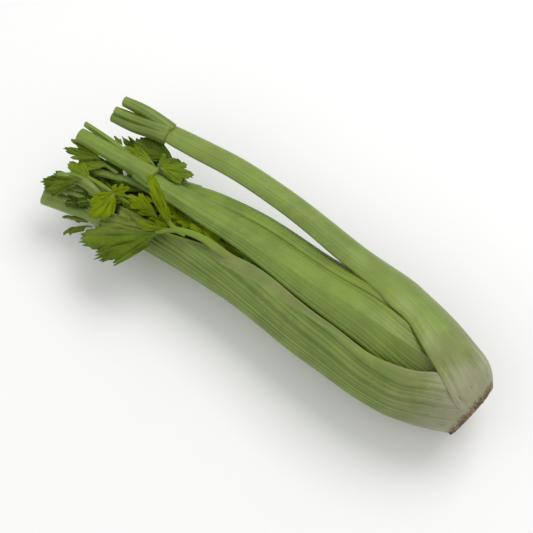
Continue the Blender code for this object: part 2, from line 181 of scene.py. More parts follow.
def frames(rows: Rows, x: np.ndarray, facing: np.ndarray) -> tuple[np.ndarray, ...]:
    """The moving frame of a route along the head.

    Args:
        rows: A table whose second and third columns are r and phi.
        x: The distances to read it at.
        facing: The way that each section should face.

    Returns:
        Its centres, side directions, facing directions made square, and forward directions.
    """
    here = smooth(rows, x)
    ahead = smooth(rows, x - AHEAD)
    centre = spot(x, here[:, 0], here[:, 1])
    along = unit(spot(x - AHEAD, ahead[:, 0], ahead[:, 1]) - centre)
    normal = unit(facing - along * np.sum(facing * along, axis=1, keepdims=True))
    return centre, np.cross(normal, along), normal, along


def deselect() -> None:
    """Leaves nothing selected."""
    if bpy.context.object and bpy.context.object.mode != "OBJECT":
        bpy.ops.object.mode_set(mode="OBJECT")
    bpy.ops.object.select_all(action="DESELECT")


def activate(piece: bpy.types.Object) -> None:
    """Makes one object the only one selected, and the active one.

    Args:
        piece: The object.
    """
    deselect()
    piece.select_set(True)
    bpy.context.view_layer.objects.active = piece


def points_of(piece: bpy.types.Object) -> np.ndarray:
    """Reads where an object's points are.

    Args:
        piece: The object.

    Returns:
        One row for each point.
    """
    flat = np.empty(len(piece.data.vertices) * 3)
    piece.data.vertices.foreach_get("co", flat)
    return flat.reshape(-1, 3)


def sheet_of_faces(name: str, across: int, along: int) -> tuple[bpy.types.Object, np.ndarray, np.ndarray]:
    """Adds a flat grid to be wrapped into a form.

    Args:
        name: The new object's name.
        across: How many faces wide it is.
        along: How many faces long it is.

    Returns:
        The object, and each point's column and row number.
    """
    deselect()
    bpy.ops.mesh.primitive_grid_add(x_subdivisions=across, y_subdivisions=along, size=1.0)
    made = bpy.context.object
    made.name = name
    made.data.name = name
    flat = points_of(made)
    columns = np.rint((flat[:, 0] + 0.5) * across).astype(int)
    rows = np.rint((flat[:, 1] + 0.5) * along).astype(int)
    return made, columns, rows


def shape(piece: bpy.types.Object, points: np.ndarray) -> None:
    """Moves an object's points to their places in the shared frame."""
    piece.data.vertices.foreach_set("co", placed(points).ravel())
    piece.data.update()


def mark(piece: bpy.types.Object, name: str, *values: float | np.ndarray) -> None:
    """Writes three values on each point for the materials to read.

    Args:
        piece: The object.
        name: The name that the materials read them by.
        values: The three values, each one number for all points or one number for each.
    """
    layer = piece.data.attributes.new(name, "FLOAT_VECTOR", "POINT")
    whole = np.empty((len(piece.data.vertices), len(values)), dtype=np.float32)
    for number, value in enumerate(values):
        whole[:, number] = value
    layer.data.foreach_set("vector", whole.ravel())


def close_up(piece: bpy.types.Object) -> None:
    """Welds the seams and poles of a wrapped grid, turns its faces outwards and shades it smooth.

    Args:
        piece: The object.
    """
    activate(piece)
    bpy.ops.object.mode_set(mode="EDIT")
    bpy.ops.mesh.select_all(action="SELECT")
    bpy.ops.mesh.remove_doubles(threshold=WELD)
    bpy.ops.mesh.normals_make_consistent(inside=False)
    bpy.ops.object.mode_set(mode="OBJECT")
    bpy.ops.object.shade_smooth()


def joined(pieces: list[bpy.types.Object]) -> bpy.types.Object:
    """Joins objects into the first of them.

    Args:
        pieces: The objects.

    Returns:
        The joined object.
    """
    activate(pieces[0])
    for piece in pieces:
        piece.select_set(True)
    if len(pieces) > 1:
        bpy.ops.object.join()
    return bpy.context.object


def finish_piece(piece: bpy.types.Object, node: str) -> None:
    """Tells the frame what a finished piece rides on and stands for.

    Args:
        piece: The finished object.
        node: The node that it stands for.
    """
    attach(piece, "root")
    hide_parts(node)
    piece.data.calc_loop_triangles()
    LOG.info("%s: %d triangles, stands for %s", piece.name, len(piece.data.loop_triangles), node)


# ---------------------------------------------------------------------------------------------- materials

STRAW: Colour = (0.30, 0.235, 0.125)
TAN: Colour = (0.19, 0.135, 0.065)
BARK: Colour = (0.075, 0.05, 0.025)
PITH: Colour = (0.36, 0.31, 0.19)
DARKER: Colour = (0.74, 0.76, 0.66)
LIGHTER: Colour = (1.18, 1.16, 1.22)


class Graph:
    """A node tree while it is being laid out."""

    def __init__(self, tree: bpy.types.NodeTree) -> None:
        """Keeps the tree to add nodes to."""
        self.tree = tree

    def add(self, kind: str, inputs: dict | None = None, **settings: object) -> bpy.types.Node:
        """Adds one node.

        Args:
            kind: The node's type, without its ShaderNode prefix.
            inputs: Values or output sockets for its inputs, by name or number.
            settings: Values for the node's own properties.

        Returns:
            The new node.
        """
        made = self.tree.nodes.new("ShaderNode" + kind)
        for key, value in settings.items():
            setattr(made, key, value)
        for key, value in (inputs or {}).items():
            self.fill(made.inputs[key], value)
        return made

    def fill(self, socket: bpy.types.NodeSocket, value: object) -> None:
        """Links a socket to an input, or sets the input to a number or a colour.

        Args:
            socket: The input.
            value: The output socket, number, vector or colour for it.
        """
        if isinstance(value, bpy.types.NodeSocket):
            self.tree.links.new(value, socket)
        elif socket.type == "RGBA":
            socket.default_value = (*value, 1.0)
        else:
            socket.default_value = value

    def math(self, operation: str, *values: object, clamp: bool = False) -> bpy.types.NodeSocket:
        """Adds a Math node over numbers or sockets and returns its output."""
        made = self.add("Math", dict(enumerate(values)), operation=operation, use_clamp=clamp)
        return made.outputs[0]

    def plus(self, first: object, second: object) -> bpy.types.NodeSocket:
        """Adds two values up."""
        return self.math("ADD", first, second)

    def times(self, first: object, second: object) -> bpy.types.NodeSocket:
        """Multiplies two values."""
        return self.math("MULTIPLY", first, second)

    def from_half(self, value: object) -> bpy.types.NodeSocket:
        """Takes a half from a value."""
        return self.math("SUBTRACT", value, 0.5)

    def ramp(self, value: object, low: float, high: float, to: Span = (0.0, 1.0)) -> bpy.types.NodeSocket:
        """Adds a smooth, clamped step of a value between two limits and returns its output."""
        inputs = {"Value": value, "From Min": low, "From Max": high, "To Min": to[0], "To Max": to[1]}
        return self.add("MapRange", inputs, interpolation_type="SMOOTHSTEP").outputs[0]

    def blend(self, factor: object, first: object, second: object, how: str = "MIX") -> bpy.types.NodeSocket:
        """Adds a colour Mix node.

        Args:
            factor: How much of the second colour there is.
            first: The first colour.
            second: The second colour.
            how: The way that they are mixed.

        Returns:
            Its output.
        """
        made = self.add("Mix", data_type="RGBA", blend_type=how)
        sockets = [s for s in made.inputs if s.enabled]
        for socket, value in zip(sockets, (factor, first, second)):
            self.fill(socket, value)
        return next(s for s in made.outputs if s.enabled)

    def tinted(self, factor: object, colour: object, tint: Colour) -> bpy.types.NodeSocket:
        """Multiplies a colour by a tint, as far as the factor says."""
        return self.blend(factor, colour, tint, "MULTIPLY")

    def noise(
        self, vector: object, scale: float, detail: float = 3.0, rough: float = 0.55
    ) -> bpy.types.NodeSocket:
        """Adds a Noise Texture and returns its value."""
        inputs = {"Vector": vector, "Scale": scale, "Detail": detail, "Roughness": rough}
        return self.add("TexNoise", inputs).outputs[0]

    def grain(self, vector: object, scale: tuple[float, float, float], detail: float) -> bpy.types.NodeSocket:
        """Adds noise that is stretched by its own scale for each direction, and returns its value."""
        made = self.add("VectorMath", {0: vector, 1: scale}, operation="MULTIPLY")
        return self.noise(made.outputs[0], 1.0, detail)

    def place(self) -> bpy.types.NodeSocket:
        """The place on the object."""
        return self.add("TexCoord").outputs["Object"]

    def marked(self, name: str) -> bpy.types.NodeSocket:
        """The three values that mark() wrote under a name."""
        return self.add("Attribute", attribute_name=name).outputs["Vector"]

    def apart(self, vector: object) -> object:
        """A vector's three values, each by itself."""
        return self.add("SeparateXYZ", {0: vector}).outputs

    def put(self, out: object, **results: bpy.types.NodeSocket) -> bpy.types.NodeTree:
        """Links a group's results to its outputs.

        Args:
            out: The output node's inputs.
            results: The result for each, by name.

        Returns:
            The finished group.
        """
        for name, result in results.items():
            self.tree.links.new(result, out[name])
        return self.tree


def new_group(name: str, inputs: dict[str, str], outputs: dict[str, str]) -> tuple[Graph, object, object]:
    """Starts a node group.

    Args:
        name: The group's name.
        inputs: Its inputs' names and kinds, Float, Vector or Color.
        outputs: Its outputs' names and kinds.

    Returns:
        Its graph, its input node's outputs, and its output node's inputs.
    """
    tree = bpy.data.node_groups.new(name, "ShaderNodeTree")
    for label, kind in inputs.items():
        tree.interface.new_socket(label, in_out="INPUT", socket_type="NodeSocket" + kind)
    for label, kind in outputs.items():
        tree.interface.new_socket(label, in_out="OUTPUT", socket_type="NodeSocket" + kind)
    into = tree.nodes.new("NodeGroupInput")
    out_of = tree.nodes.new("NodeGroupOutput")
    return Graph(tree), into.outputs, out_of.inputs


def fibre_group() -> bpy.types.NodeTree:
    """The lengthwise strings under a stalk's skin.

    Returns:
        A group that turns a place on the skin into broad strings, fine strings, short dashes and a height.
    """
    graph, given, out = new_group(
        "Stalk Fibres",
        {"Skin": "Vector"},
        {"Broad": "Float", "Fine": "Float", "Dashes": "Float", "Height": "Float"},
    )
    skin = given["Skin"]
    broad = graph.grain(skin, (420.0, 5.0, 30.0), 2.0)
    fine = graph.grain(skin, (1500.0, 14.0, 30.0), 3.0)
    specks = graph.grain(skin, (1700.0, 260.0, 30.0), 1.0)
    patches = graph.grain(skin, (60.0, 22.0, 30.0), 2.0)
    dashes = graph.times(graph.ramp(specks, 0.60, 0.72), graph.ramp(patches, 0.5, 0.68))
    height = graph.plus(graph.times(broad, 0.6), graph.times(fine, 0.4))
    return graph.put(out, Broad=broad, Fine=fine, Dashes=dashes, Height=height)


def cork_group() -> bpy.types.NodeTree:
    """Dried, browned flesh.

    Returns:
        A group that turns a place into a brown colour and its height.
    """
    graph, given, out = new_group("Dried Flesh", {"Place": "Vector"}, {"Color": "Color", "Height": "Float"})
    place = given["Place"]
    clumps = graph.noise(place, 420.0, 6.0, 0.7)
    cells = graph.add("TexVoronoi", {"Vector": place, "Scale": 900.0}).outputs["Distance"]
    stain = graph.noise(place, 90.0, 3.0, 0.6)
    light = graph.blend(graph.ramp(stain, 0.35, 0.65), STRAW, TAN)
    colour = graph.blend(graph.ramp(clumps, 0.42, 0.62), light, BARK)
    pale = graph.blend(graph.ramp(cells, 0.35, 0.1), colour, PITH)
    mixed = graph.blend(0.35, colour, pale)
    return graph.put(out, Color=mixed, Height=graph.plus(clumps, graph.times(cells, 0.4)))


def mottle_group() -> bpy.types.NodeTree:
    """Slow, uneven changes of colour over a surface.

    Returns:
        A group that lightens and darkens a colour by place.
    """
    inputs = {"Color": "Color", "Place": "Vector", "Amount": "Float"}
    graph, given, out = new_group("Mottle", inputs, {"Color": "Color"})
    slow = graph.noise(given["Place"], 38.0, 3.0, 0.6)
    dark = graph.tinted(1.0, given["Color"], DARKER)
    light = graph.tinted(1.0, given["Color"], LIGHTER)
    varied = graph.blend(graph.ramp(slow, 0.35, 0.65), dark, light)
    return graph.put(out, Color=graph.blend(given["Amount"], given["Color"], varied))


def vein_group() -> bpy.types.NodeTree:
    """The veins of a fan-shaped leaflet.

    Returns:
        A group that turns a place across and along a leaflet, its lobes and its width into its veins.
    """
    graph, given, out = new_group(
        "Leaf Veins",
        {"Across": "Float", "Along": "Float", "Lobes": "Float", "Width": "Float"},
        {"Main": "Float", "Side": "Float", "Height": "Float"},
    )
    turns = graph.times(graph.plus(given["Across"], 1.0), graph.times(given["Lobes"], 0.5))
    off = graph.math("ABSOLUTE", graph.from_half(graph.math("FRACT", turns)))
    apart = graph.times(off, graph.times(given["Along"], given["Width"]))
    main_veins = graph.ramp(apart, 0.05, 0.012)
    slant = graph.math("SUBTRACT", graph.times(given["Along"], 11.0), graph.times(off, 7.0))
    comb = graph.math("ABSOLUTE", graph.from_half(graph.math("FRACT", slant)))
    side_veins = graph.ramp(comb, 0.16, 0.03)
    height = graph.plus(main_veins, graph.times(side_veins, 0.5))
    return graph.put(out, Main=main_veins, Side=side_veins, Height=height)


@dataclass(frozen=True)
class Relief:
    """How strongly a surface's height bends the light, and over what depth in metres."""

    strength: float
    depth: float


@dataclass(frozen=True)
class Glow:
    """How far light passes under a surface: how much of it, how deep, and how far in each colour."""

    weight: float
    depth: float
    colour: Colour


class Palette:
    """The shared effects, and the materials that use them."""

    def __init__(self) -> None:
        """Builds each shared effect once."""
        self.fibres = fibre_group()
        self.cork = cork_group()
        self.mottle = mottle_group()
        self.veins = vein_group()

    @staticmethod
    def blank(name: str) -> tuple[bpy.types.Material, Graph]:
        """A new material and its graph.

        Args:
            name: The material's name.

        Returns:
            The material and its graph.
        """
        made = bpy.data.materials.new(name)
        made.use_nodes = True
        return made, Graph(made.node_tree)

    @staticmethod
    def use(graph: Graph, tree: bpy.types.NodeTree, inputs: dict) -> object:
        """Places a shared effect in a material and returns its outputs."""
        return graph.add("Group", inputs, node_tree=tree).outputs

    def mottled(self, graph: Graph, colour: object, place: object, amount: float) -> bpy.types.NodeSocket:
        """Makes a colour uneven."""
        return self.use(graph, self.mottle, {"Color": colour, "Place": place, "Amount": amount})["Color"]

    @staticmethod
    def feed(
        graph: Graph, sockets: dict, height: object, relief: Relief, gloss: float, glow: Glow | None = None
    ) -> None:
        """Feeds a material's shader.

        Args:
            graph: The material's graph.
            sockets: What its colour and roughness are read from, by the shader's own names for them.
            height: The height of its surface.
            relief: How strongly the height shows.
            gloss: How strongly it shines.
            glow: How light passes under it.
        """
        shader = graph.tree.nodes["Principled BSDF"]
        bump = graph.add("Bump", {"Height": height, "Strength": relief.strength, "Distance": relief.depth})
        for name, socket in {**sockets, "Normal": bump.outputs[0]}.items():
            graph.tree.links.new(socket, shader.inputs[name])
        shader.inputs["Specular IOR Level"].default_value = gloss
        if glow:
            shader.inputs["Subsurface Weight"].default_value = glow.weight
            shader.inputs["Subsurface Radius"].default_value = glow.colour
            shader.inputs["Subsurface Scale"].default_value = glow.depth


@dataclass(frozen=True)
class StalkFinish:
    """The skin of one kind of stalk, from its blanched base to its green top.

    The spans scarred_over and browned_over are distances along the head in metres.
    """

    name: str
    slot: Slot
    top: Colour
    middle: Colour
    base: Colour
    butt: Colour
    # The groove strength and tint are the painted shade laid in the furrows and on faces turned from the
    # light.
    groove_shade: float = 0.8
    roughness: float = 0.42
    gloss: float = 0.4
    streaking: float = 0.34
    mottling: float = 0.55
    string_tint: Colour = (1.3, 1.25, 1.15)
    furrow_tint: Colour = (0.72, 0.80, 0.55)
    painted_shade_tint: Colour = (0.42, 0.52, 0.25)
    dash: Colour = (0.52, 0.58, 0.30)
    scar: Colour = (0.14, 0.105, 0.04)
    film: Colour = (0.172, 0.203, 0.057)
    flesh: tuple[Colour, Colour] = ((0.24, 0.32, 0.10), (0.40, 0.46, 0.19))
    scarred_over: Span = (0.124, 0.146)
    browned_over: Span = (0.1727, 0.1765)
    ragged: float = 0.009
    relief: Relief = Relief(0.55, 0.0003)
    glow: Glow = Glow(0.08, 0.002, (0.6, 1.0, 0.3))

    def material(self, palette: Palette) -> bpy.types.Material:
        """Lays out the finish.

        Args:
            palette: The shared effects.

        Returns:
            The new material.
        """
        made, graph = palette.blank(self.name)
        skin, place = graph.marked("skin"), graph.place()
        _, along, inside = graph.apart(skin)
        # The first value is painted shade in the furrows and on the face beyond an edge, and darker in the
        # node's nick; the second is how blanched the skin is; the third marks the cut ends.
        hollow, pale, cut = graph.apart(graph.marked("tone_and_shade"))
        strings = palette.use(graph, palette.fibres, {"Skin": skin})
        age = graph.plus(pale, graph.times(graph.from_half(strings["Broad"]), self.streaking))
        green = graph.blend(graph.ramp(age, 0.0, 0.45), self.top, self.middle)
        lower = graph.blend(graph.ramp(age, 0.5, 0.8), green, self.base)
        butt = graph.blend(graph.ramp(age, 0.84, 1.0), lower, self.butt)
        lined = graph.tinted(graph.ramp(strings["Fine"], 0.35, 0.66, (0.0, 0.30)), butt, self.string_tint)
        dark = graph.tinted(graph.ramp(strings["Broad"], 0.56, 0.36, (0.0, 0.30)), lined, self.furrow_tint)
        # Painted shade: darkens the colour where shade falls in the furrows and on faces turned from the
        # light.
        deep = graph.tinted(graph.times(hollow, self.groove_shade), dark, self.painted_shade_tint)
        dashed = graph.blend(graph.times(strings["Dashes"], 0.38), deep, self.dash)
        nicks = graph.ramp(graph.grain(skin, (820.0, 95.0, 30.0), 2.0), 0.64, 0.7)
        scarring = graph.times(nicks, graph.ramp(along, *self.scarred_over, (0.0, 0.75)))
        scarred = graph.blend(scarring, dashed, self.scar)
        filmed = graph.blend(graph.times(inside, 0.8), scarred, self.film)
        even = palette.mottled(graph, filmed, place, self.mottling)
        flesh = graph.blend(graph.noise(place, 700.0, 2.0), *self.flesh)
        capped = graph.blend(graph.ramp(cut, 0.35, 0.75), even, flesh)
        torn = graph.plus(along, graph.times(graph.noise(place, 260.0, 4.0, 0.7), self.ragged))
        browned = graph.ramp(torn, *self.browned_over)
        cork = palette.use(graph, palette.cork, {"Place": place})
        colour = graph.blend(browned, capped, cork["Color"])
        rough = graph.plus(graph.times(strings["Fine"], 0.16), self.roughness - 0.06)
        dry = graph.math("ADD", rough, graph.times(browned, 0.4), clamp=True)
        height = graph.plus(strings["Height"], graph.times(browned, cork["Height"]))
        sockets = {"Base Color": colour, "Roughness": dry}
        palette.feed(graph, sockets, height, self.relief, self.gloss, self.glow)
        return made


@dataclass(frozen=True)
class LeafFinish:
    """The look of a leaf's blades and its stem."""

    name: str
    slot: Slot
    blade: Colour
    shade: Colour
    vein: Colour
    stem: Colour
    roughness: float = 0.46
    gloss: float = 0.07
    mottling: float = 0.9
    stem_mottling: float = 0.6
    # The young tint lightens young leaflets, and paints light on the lit half of the fan leaflet.
    youth_and_light_tint: Colour = (1.55, 1.4, 0.5)
    # Painted shade: darkens and cools leaflets that lie in shade.
    painted_leaf_shade_tint: Colour = (0.35, 0.45, 0.6)
    sheath: Colour = (0.27, 0.26, 0.13)
    relief: Relief = Relief(0.5, 0.0003)
    glow: Glow = Glow(0.12, 0.0015, (0.7, 1.0, 0.2))

    def material(self, palette: Palette) -> bpy.types.Material:
        """Lays out the finish.

        Args:
            palette: The shared effects.

        Returns:
            The new material.
        """
        made, graph = palette.blank(self.name)
        place = graph.place()
        across, along, lobes = graph.apart(graph.marked("skin"))
        # On a blade, the second value is its youth tone above 0 and painted shade below 0, with painted light
        # and shade across the fan leaflet; on a stem it is how far the stem has widened into its sheath.
        stemness, young, width = graph.apart(graph.marked("tone_and_shade"))
        given = {"Across": across, "Along": along, "Lobes": lobes, "Width": width}
        veins = palette.use(graph, palette.veins, given)
        tissue = graph.noise(place, 1500.0, 3.0, 0.6)
        cells = graph.blend(graph.ramp(tissue, 0.4, 0.6), self.shade, self.blade)
        edge = graph.blend(graph.ramp(along, 0.5, 1.0, (0.0, 0.35)), cells, self.shade)
        lit = graph.tinted(graph.ramp(young, 0.0, 1.0), edge, self.youth_and_light_tint)
        # Painted shade, where that value is below 0.
        bright = graph.tinted(graph.ramp(young, 0.0, -1.0), lit, self.painted_leaf_shade_tint)
        even = palette.mottled(graph, bright, place, self.mottling)
        sided = graph.blend(graph.times(veins["Side"], 0.30), even, self.vein)
        ribbed = graph.blend(graph.times(veins["Main"], 0.65), sided, self.vein)
        stem = palette.mottled(graph, graph.blend(young, self.stem, self.sheath), place, self.stem_mottling)
        colour = graph.blend(stemness, ribbed, stem)
        rough = graph.plus(graph.times(tissue, 0.14), self.roughness - 0.05)
        height = graph.plus(graph.times(veins["Height"], -0.8), tissue)
        sockets = {"Base Color": colour, "Roughness": rough}
        palette.feed(graph, sockets, height, self.relief, self.gloss, self.glow)
        return made


# ---------------------------------------------------------------------------------------------- stalks


@dataclass(frozen=True)
class Branch:
    """One cut branch: rows of x, r, phi and thickness, and the channel down its inner side.

    channel_half and strings_from are angles in radians away from the channel's middle. channel_grows,
    flare_fades and pale_fades are distances from its start.
    """

    rows: Rows
    channel_towards: float = 200.0
    channel: float = 0.42
    flare: float = 0.06
    channel_half: float = 0.62
    channel_grows: float = 14.0
    flare_fades: float = 7.0
    pale: float = 0.12
    pale_fades: float = 12.0
    strings: int = 9
    strings_from: float = 0.8
    string_depth: float = 0.035
    around: int = 44
    step: float = 1.6

    # How far past the branch's end the last rings lie, and how far they close in on its middle.
    END_PAST = (0.25, 0.35, 0.3, 0.1, 0.0)
    END_CLOSE = (0.07, 0.16, 0.3, 0.65, 1.0)
    BASE_CLOSE = (1.0, 0.5)
    LEAST_RINGS = 6
    CHANNEL_OPENS = (0.15, 1.0)
    # How much of the inner side's look the channel has, and how strong the painted shade in the furrows
    # between the strings is.
    CHANNEL_TONE = 0.4
    FURROW_SHADE = 0.4
    # The thicknesses between which a leaf's stem widens into its sheath.
    SHEATH = (5.5, 8.5)

    def build(self, name: str, leaf_stem: bool = False) -> bpy.types.Object:
        """Wraps a grid into a channelled branch with a clean cut end.

        Args:
            name: The new object's name.
            leaf_stem: Whether its marks are those of a leaf's stem.

        Returns:
            The new object.
        """
        start, end = self.rows[0][0], self.rows[-1][0]
        count = max(self.LEAST_RINGS, round((start - end) / self.step))
        body, flat = np.linspace(start, end, count + 1), np.zeros(count + 1)
        x = np.concatenate([np.full(len(self.BASE_CLOSE), start), body, np.full(len(self.END_PAST), end)])
        past = np.concatenate([np.zeros(len(self.BASE_CLOSE)), flat, self.END_PAST])
        close = np.concatenate([self.BASE_CLOSE, flat, self.END_CLOSE])
        piece, column, row = sheet_of_faces(name, self.around, len(x) - 1)
        theta = 2 * math.pi * column / self.around
        thick = smooth(self.rows, x)[row, 2]
        facing = out_from(np.full(len(row), self.channel_towards))
        centre, side, normal, along = frames(self.rows, x[row], facing)
        turned = np.angle(np.exp(1j * theta))
        away, gone = np.abs(turned), start - x[row]
        grown = rise(np.clip(gone / self.channel_grows, 0, 1), *self.CHANNEL_OPENS)
        dip = self.channel * hump(away, 0.0, self.channel_half) * grown
        lines = 0.5 - 0.5 * np.cos(theta * self.strings)
        lined = away > self.strings_from
        swell = 1 + self.flare * hump(gone, 0.0, self.flare_fades)
        size = thick / 2 * swell * (1 - dip + self.string_depth * lines * lined) * (1 - close[row])
        points = centre + size[:, None] * (np.cos(theta)[:, None] * normal + np.sin(theta)[:, None] * side)
        points += past[row][:, None] * along
        shape(piece, points)
        if leaf_stem:
            mark(piece, "skin", 0.0, 0.0, 1.0)
            mark(piece, "tone_and_shade", 1.0, rise(thick, *self.SHEATH), 1.0)
        else:
            cut = (close[row] > self.END_CLOSE[0]) & (row > len(x) / 2)
            # Painted shade: the furrows between the strings are darkened.
            string_furrow_shade = (1 - lines) * self.FURROW_SHADE * lined
            mark(piece, "skin", thick / 2 * turned * MM, x[row] * MM, self.CHANNEL_TONE * dip)
            mark(piece, "tone_and_shade", string_furrow_shade, self.pale * hump(gone, 0.0, self.pale_fades), cut)
        close_up(piece)
        return piece


@dataclass
class Skin:
    """A stalk's skin while it is formed: each point's place on it, and how strongly each feature shows there.

    u runs across the back from -1 to 1, and lined_at is the same with the ribs held in line. on_back is 1 on
    the back and 0 on the inner side, and fade is the same without the margins. filmed is the u of the film's
    edge.
    """

    x: np.ndarray
    u: np.ndarray
    lined_at: np.ndarray
    width: np.ndarray
    radius: np.ndarray
    curl: np.ndarray
    from_node: np.ndarray
    on_back: np.ndarray
    fade: np.ndarray
    settled: np.ndarray
    filmed: np.ndarray
    on_film: np.ndarray
    hollow: np.ndarray
    edge: np.ndarray | None


@dataclass
class StalkBody:
    """The skin of a stalk: ribs down its back, rounded margins, a hollow inner side, and a node at its top.

    Each row is x, r and phi of its middle, the tilt of its section, its width round the back, its wall and
    the angle that its section spans. The edge is rows of x and a place across the back, and the film rows of
    x and a width. Steady ribs are held at an angle, with the half width and the shift that they are counted
    by.
    """

    name: str
    node: str
    rows: Rows
    branches: tuple[Branch, ...] = ()
    ribs: int = 11
    rib_depth: float = 0.5
    seed: int = 1
    ridges: tuple[Crest, ...] = ()
    edge: Rows = ()
    flatness: float = 0.0
    groove_width: float = 0.42
    film: Rows = ((200.0, -9.0), (-200.0, -9.0))
    steady: tuple[float, float, float] = (0.0, 0.0, 0.0)
    evenness: float = 0.0
    blanched_from: float = 84.0
    back_faces: int = 88
    margin_faces: int = 6
    ring_step: float = 2.4
    dome: float = 4.0

    # The stretches of x over which sections turn upright, ribs settle, ridges die out and green turns pale.
    UPRIGHT = (84.0, 128.0)
    SETTLING = (118.0, 156.0)
    RIDGES_END = (60.0, 120.0)
    PALING = (-90.0, 150.0)
    BLANCHED_AT = 168.0
    SETTLED = 0.65
    # How much thinner the wall is at its margins, and where across the back the margins start.
    MARGIN_THINNING = 0.5
    MARGIN_FROM = 0.93
    # How far the two faces beside an edge are flattened, the crest between them, and the painted shade on the
    # face beyond it, which is turned away from the light.
    # A crest is its place, its height and half its width.
    FACES = (0.4, 1.0)
    EDGE_CREST = (-0.03, 0.25, 0.045)
    EDGE_SHADE = 0.45
    EDGE_SHADE_OVER = 0.12
    # The film: the crest at its edge, how far it sinks, and how it ends across the back.
    FILM_CREST = (0.03, 0.35, 0.035)
    FILM_SINK = 1.1
    FILM_ENDS = (-0.015, 0.035)
    FILM_STARTS = (-1.0, -0.96)
    # How high the back stands where it has no furrow, and the rib depth at which the painted shade in the
    # furrows shows in full.
    BACK_LEVEL = 0.4
    FULL_RIBS = 0.9
    # The node at the top, by the distance from it: its ring, the nick over it, and their tones.
    NODE_RING = (2.6, 0.12, 2.4)
    NODE_NICK = (0.0, 0.35, 0.8)
    NODE_PALE = (2.0, 0.6, 2.6)
    NODE_DARK = (0.0, 0.45, 1.0)
    # How pale the stalk grows along its length and at its base, and how much sooner it does at its margins.
    PALE = 0.42
    BLANCHED = 0.58
    MARGIN_BLANCHED = 8
    # The furrows: how far they stray, how strong and how wide they are, and how strong even ones are.
    FURROW_STRAYS = 0.3
    FURROW_STRENGTH = (0.35, 1.0)
    FURROW_POWER = 1.6
    FURROW_WIDTHS = (0.6, 1.4)
    EVEN_FURROW = 0.85
    # How the wall closes at its base, ring by ring: how far past it, and how far in.
    BASE_PAST = (0.0, -0.3, -0.4, -0.4)
    BASE_CLOSE = (1.0, 0.6, 0.2, 0.06)
    # How many rings round off its top, and the angle in degrees that the first of them is turned.
    DOME_RINGS = 6
    DOME_FROM = 15

    def grooves(self, u: np.ndarray) -> np.ndarray:
        """How deep the furrows between the ribs are across the back.

        Args:
            u: Places across the back, from -1 to 1.

        Returns:
            The depth at each, from 0 to 1.
        """
        draw = np.random.default_rng(self.seed)
        depth = np.zeros_like(u)
        for number in range(1, self.ribs):
            centre = -1 + 2 * (number + draw.uniform(-self.FURROW_STRAYS, self.FURROW_STRAYS)) / self.ribs
            strength = draw.uniform(*self.FURROW_STRENGTH) ** self.FURROW_POWER
            strength += (self.EVEN_FURROW - strength) * self.evenness
            half = draw.uniform(*self.FURROW_WIDTHS) * self.groove_width / self.ribs
            depth = np.maximum(depth, strength * hump(u, centre, half))
        return depth

    def flattening(self, skin: Skin) -> np.ndarray:
        """How far each point of the back sinks to make the two faces beside the edge.

        Args:
            skin: The skin.

        Returns:
            How far each sinks.
        """
        sunk = np.zeros_like(skin.u)
        for low, high, amount in ((-1.0, skin.edge, self.FACES[0]), (skin.edge, 1.0, self.FACES[1])):
            half = (high - low) / 2 * skin.curl / 2
            off = (skin.u - (low + high) / 2) * skin.curl / 2
            sag = skin.radius * (1 - np.cos(half) / np.cos(np.clip(off, -half, half)))
            sunk = np.where((skin.u >= low) & (skin.u <= high), amount * sag, sunk)
        return self.flatness * sunk

    def section(self, x: np.ndarray) -> tuple[np.ndarray, ...]:
        """The stalk's sections, which stand square to its run and turn upright towards the butt.

        Args:
            x: The distances of the sections.

        Returns:
            Their table rows, centres, side directions, facing directions and forward directions.
        """
        table = smooth(self.rows, x)
        facing = out_from(table[:, 1] + table[:, 2])
        centre, side, normal, along = frames(self.rows, x, facing)
        upright = rise(x, *self.UPRIGHT)[:, None]
        side = unit(side * (1 - upright) + np.cross(facing, [-1.0, 0.0, 0.0]) * upright)
        normal = unit(normal * (1 - upright) + facing * upright)
        return table, centre, side, normal, along

    def rings(self) -> tuple[np.ndarray, np.ndarray, np.ndarray]:
        """Where the rings run.

        Returns:
            Each ring's distance in the table, how far past it the ring lies, and how far it closes on the
            wall's middle.
        """
        keys = [row[0] for row in self.rows]
        start, end = max(keys), min(keys)
        count = round((start - end) / self.ring_step)
        body, flat = np.linspace(start, end, count + 1), np.zeros(count + 1)
        turn = np.radians(np.linspace(self.DOME_FROM, 90, self.DOME_RINGS))
        x = np.concatenate([np.full(len(self.BASE_PAST), start), body, np.full(self.DOME_RINGS, end)])
        past = np.concatenate([self.BASE_PAST, flat, self.dome * np.sin(turn)])
        close = np.concatenate([self.BASE_CLOSE, flat, 1 - np.cos(turn)])
        return x, past, close

    def features(
        self, x: np.ndarray, row: np.ndarray, u: np.ndarray, angle: np.ndarray, table: np.ndarray
    ) -> Skin:
        """Works out how strongly each feature shows at each point.

        Args:
            x: The rings' distances along the head.
            row: Each point's ring.
            u: Each point's place across the back.
            angle: How far round the wall it is, 0 on the back and pi on the inner side.
            table: Its row of the stalk's table.

        Returns:
            The skin.
        """
        width, curl = table[:, 3], np.radians(table[:, 5])
        radius = width / curl
        lined_at = u
        held_at, half_there, shift = self.steady
        if half_there:
            turned = table[:, 1] + table[:, 2] + np.degrees(u * curl / 2) - held_at
            lined_at = (radius * np.radians(turned) + shift) / half_there
        on_back = (1 + np.cos(angle)) / 2
        filmed = -1 + 2 * smooth(self.film, x)[row, 0] / width
        return Skin(
            x=x[row],
            u=u,
            lined_at=lined_at,
            width=width,
            radius=radius,
            curl=curl,
            from_node=x[row] - min(key[0] for key in self.rows),
            on_back=on_back,
            fade=on_back * (1 - rise(np.abs(u), self.MARGIN_FROM, 1.0)),
            settled=1 - self.SETTLED * rise(x[row], *self.SETTLING),
            filmed=filmed,
            on_film=on_back * (1 - rise(u, filmed + self.FILM_ENDS[0], filmed + self.FILM_ENDS[1])),
            hollow=self.grooves(lined_at),
            edge=smooth(self.edge, x)[row, 0] if self.edge else None,
        )

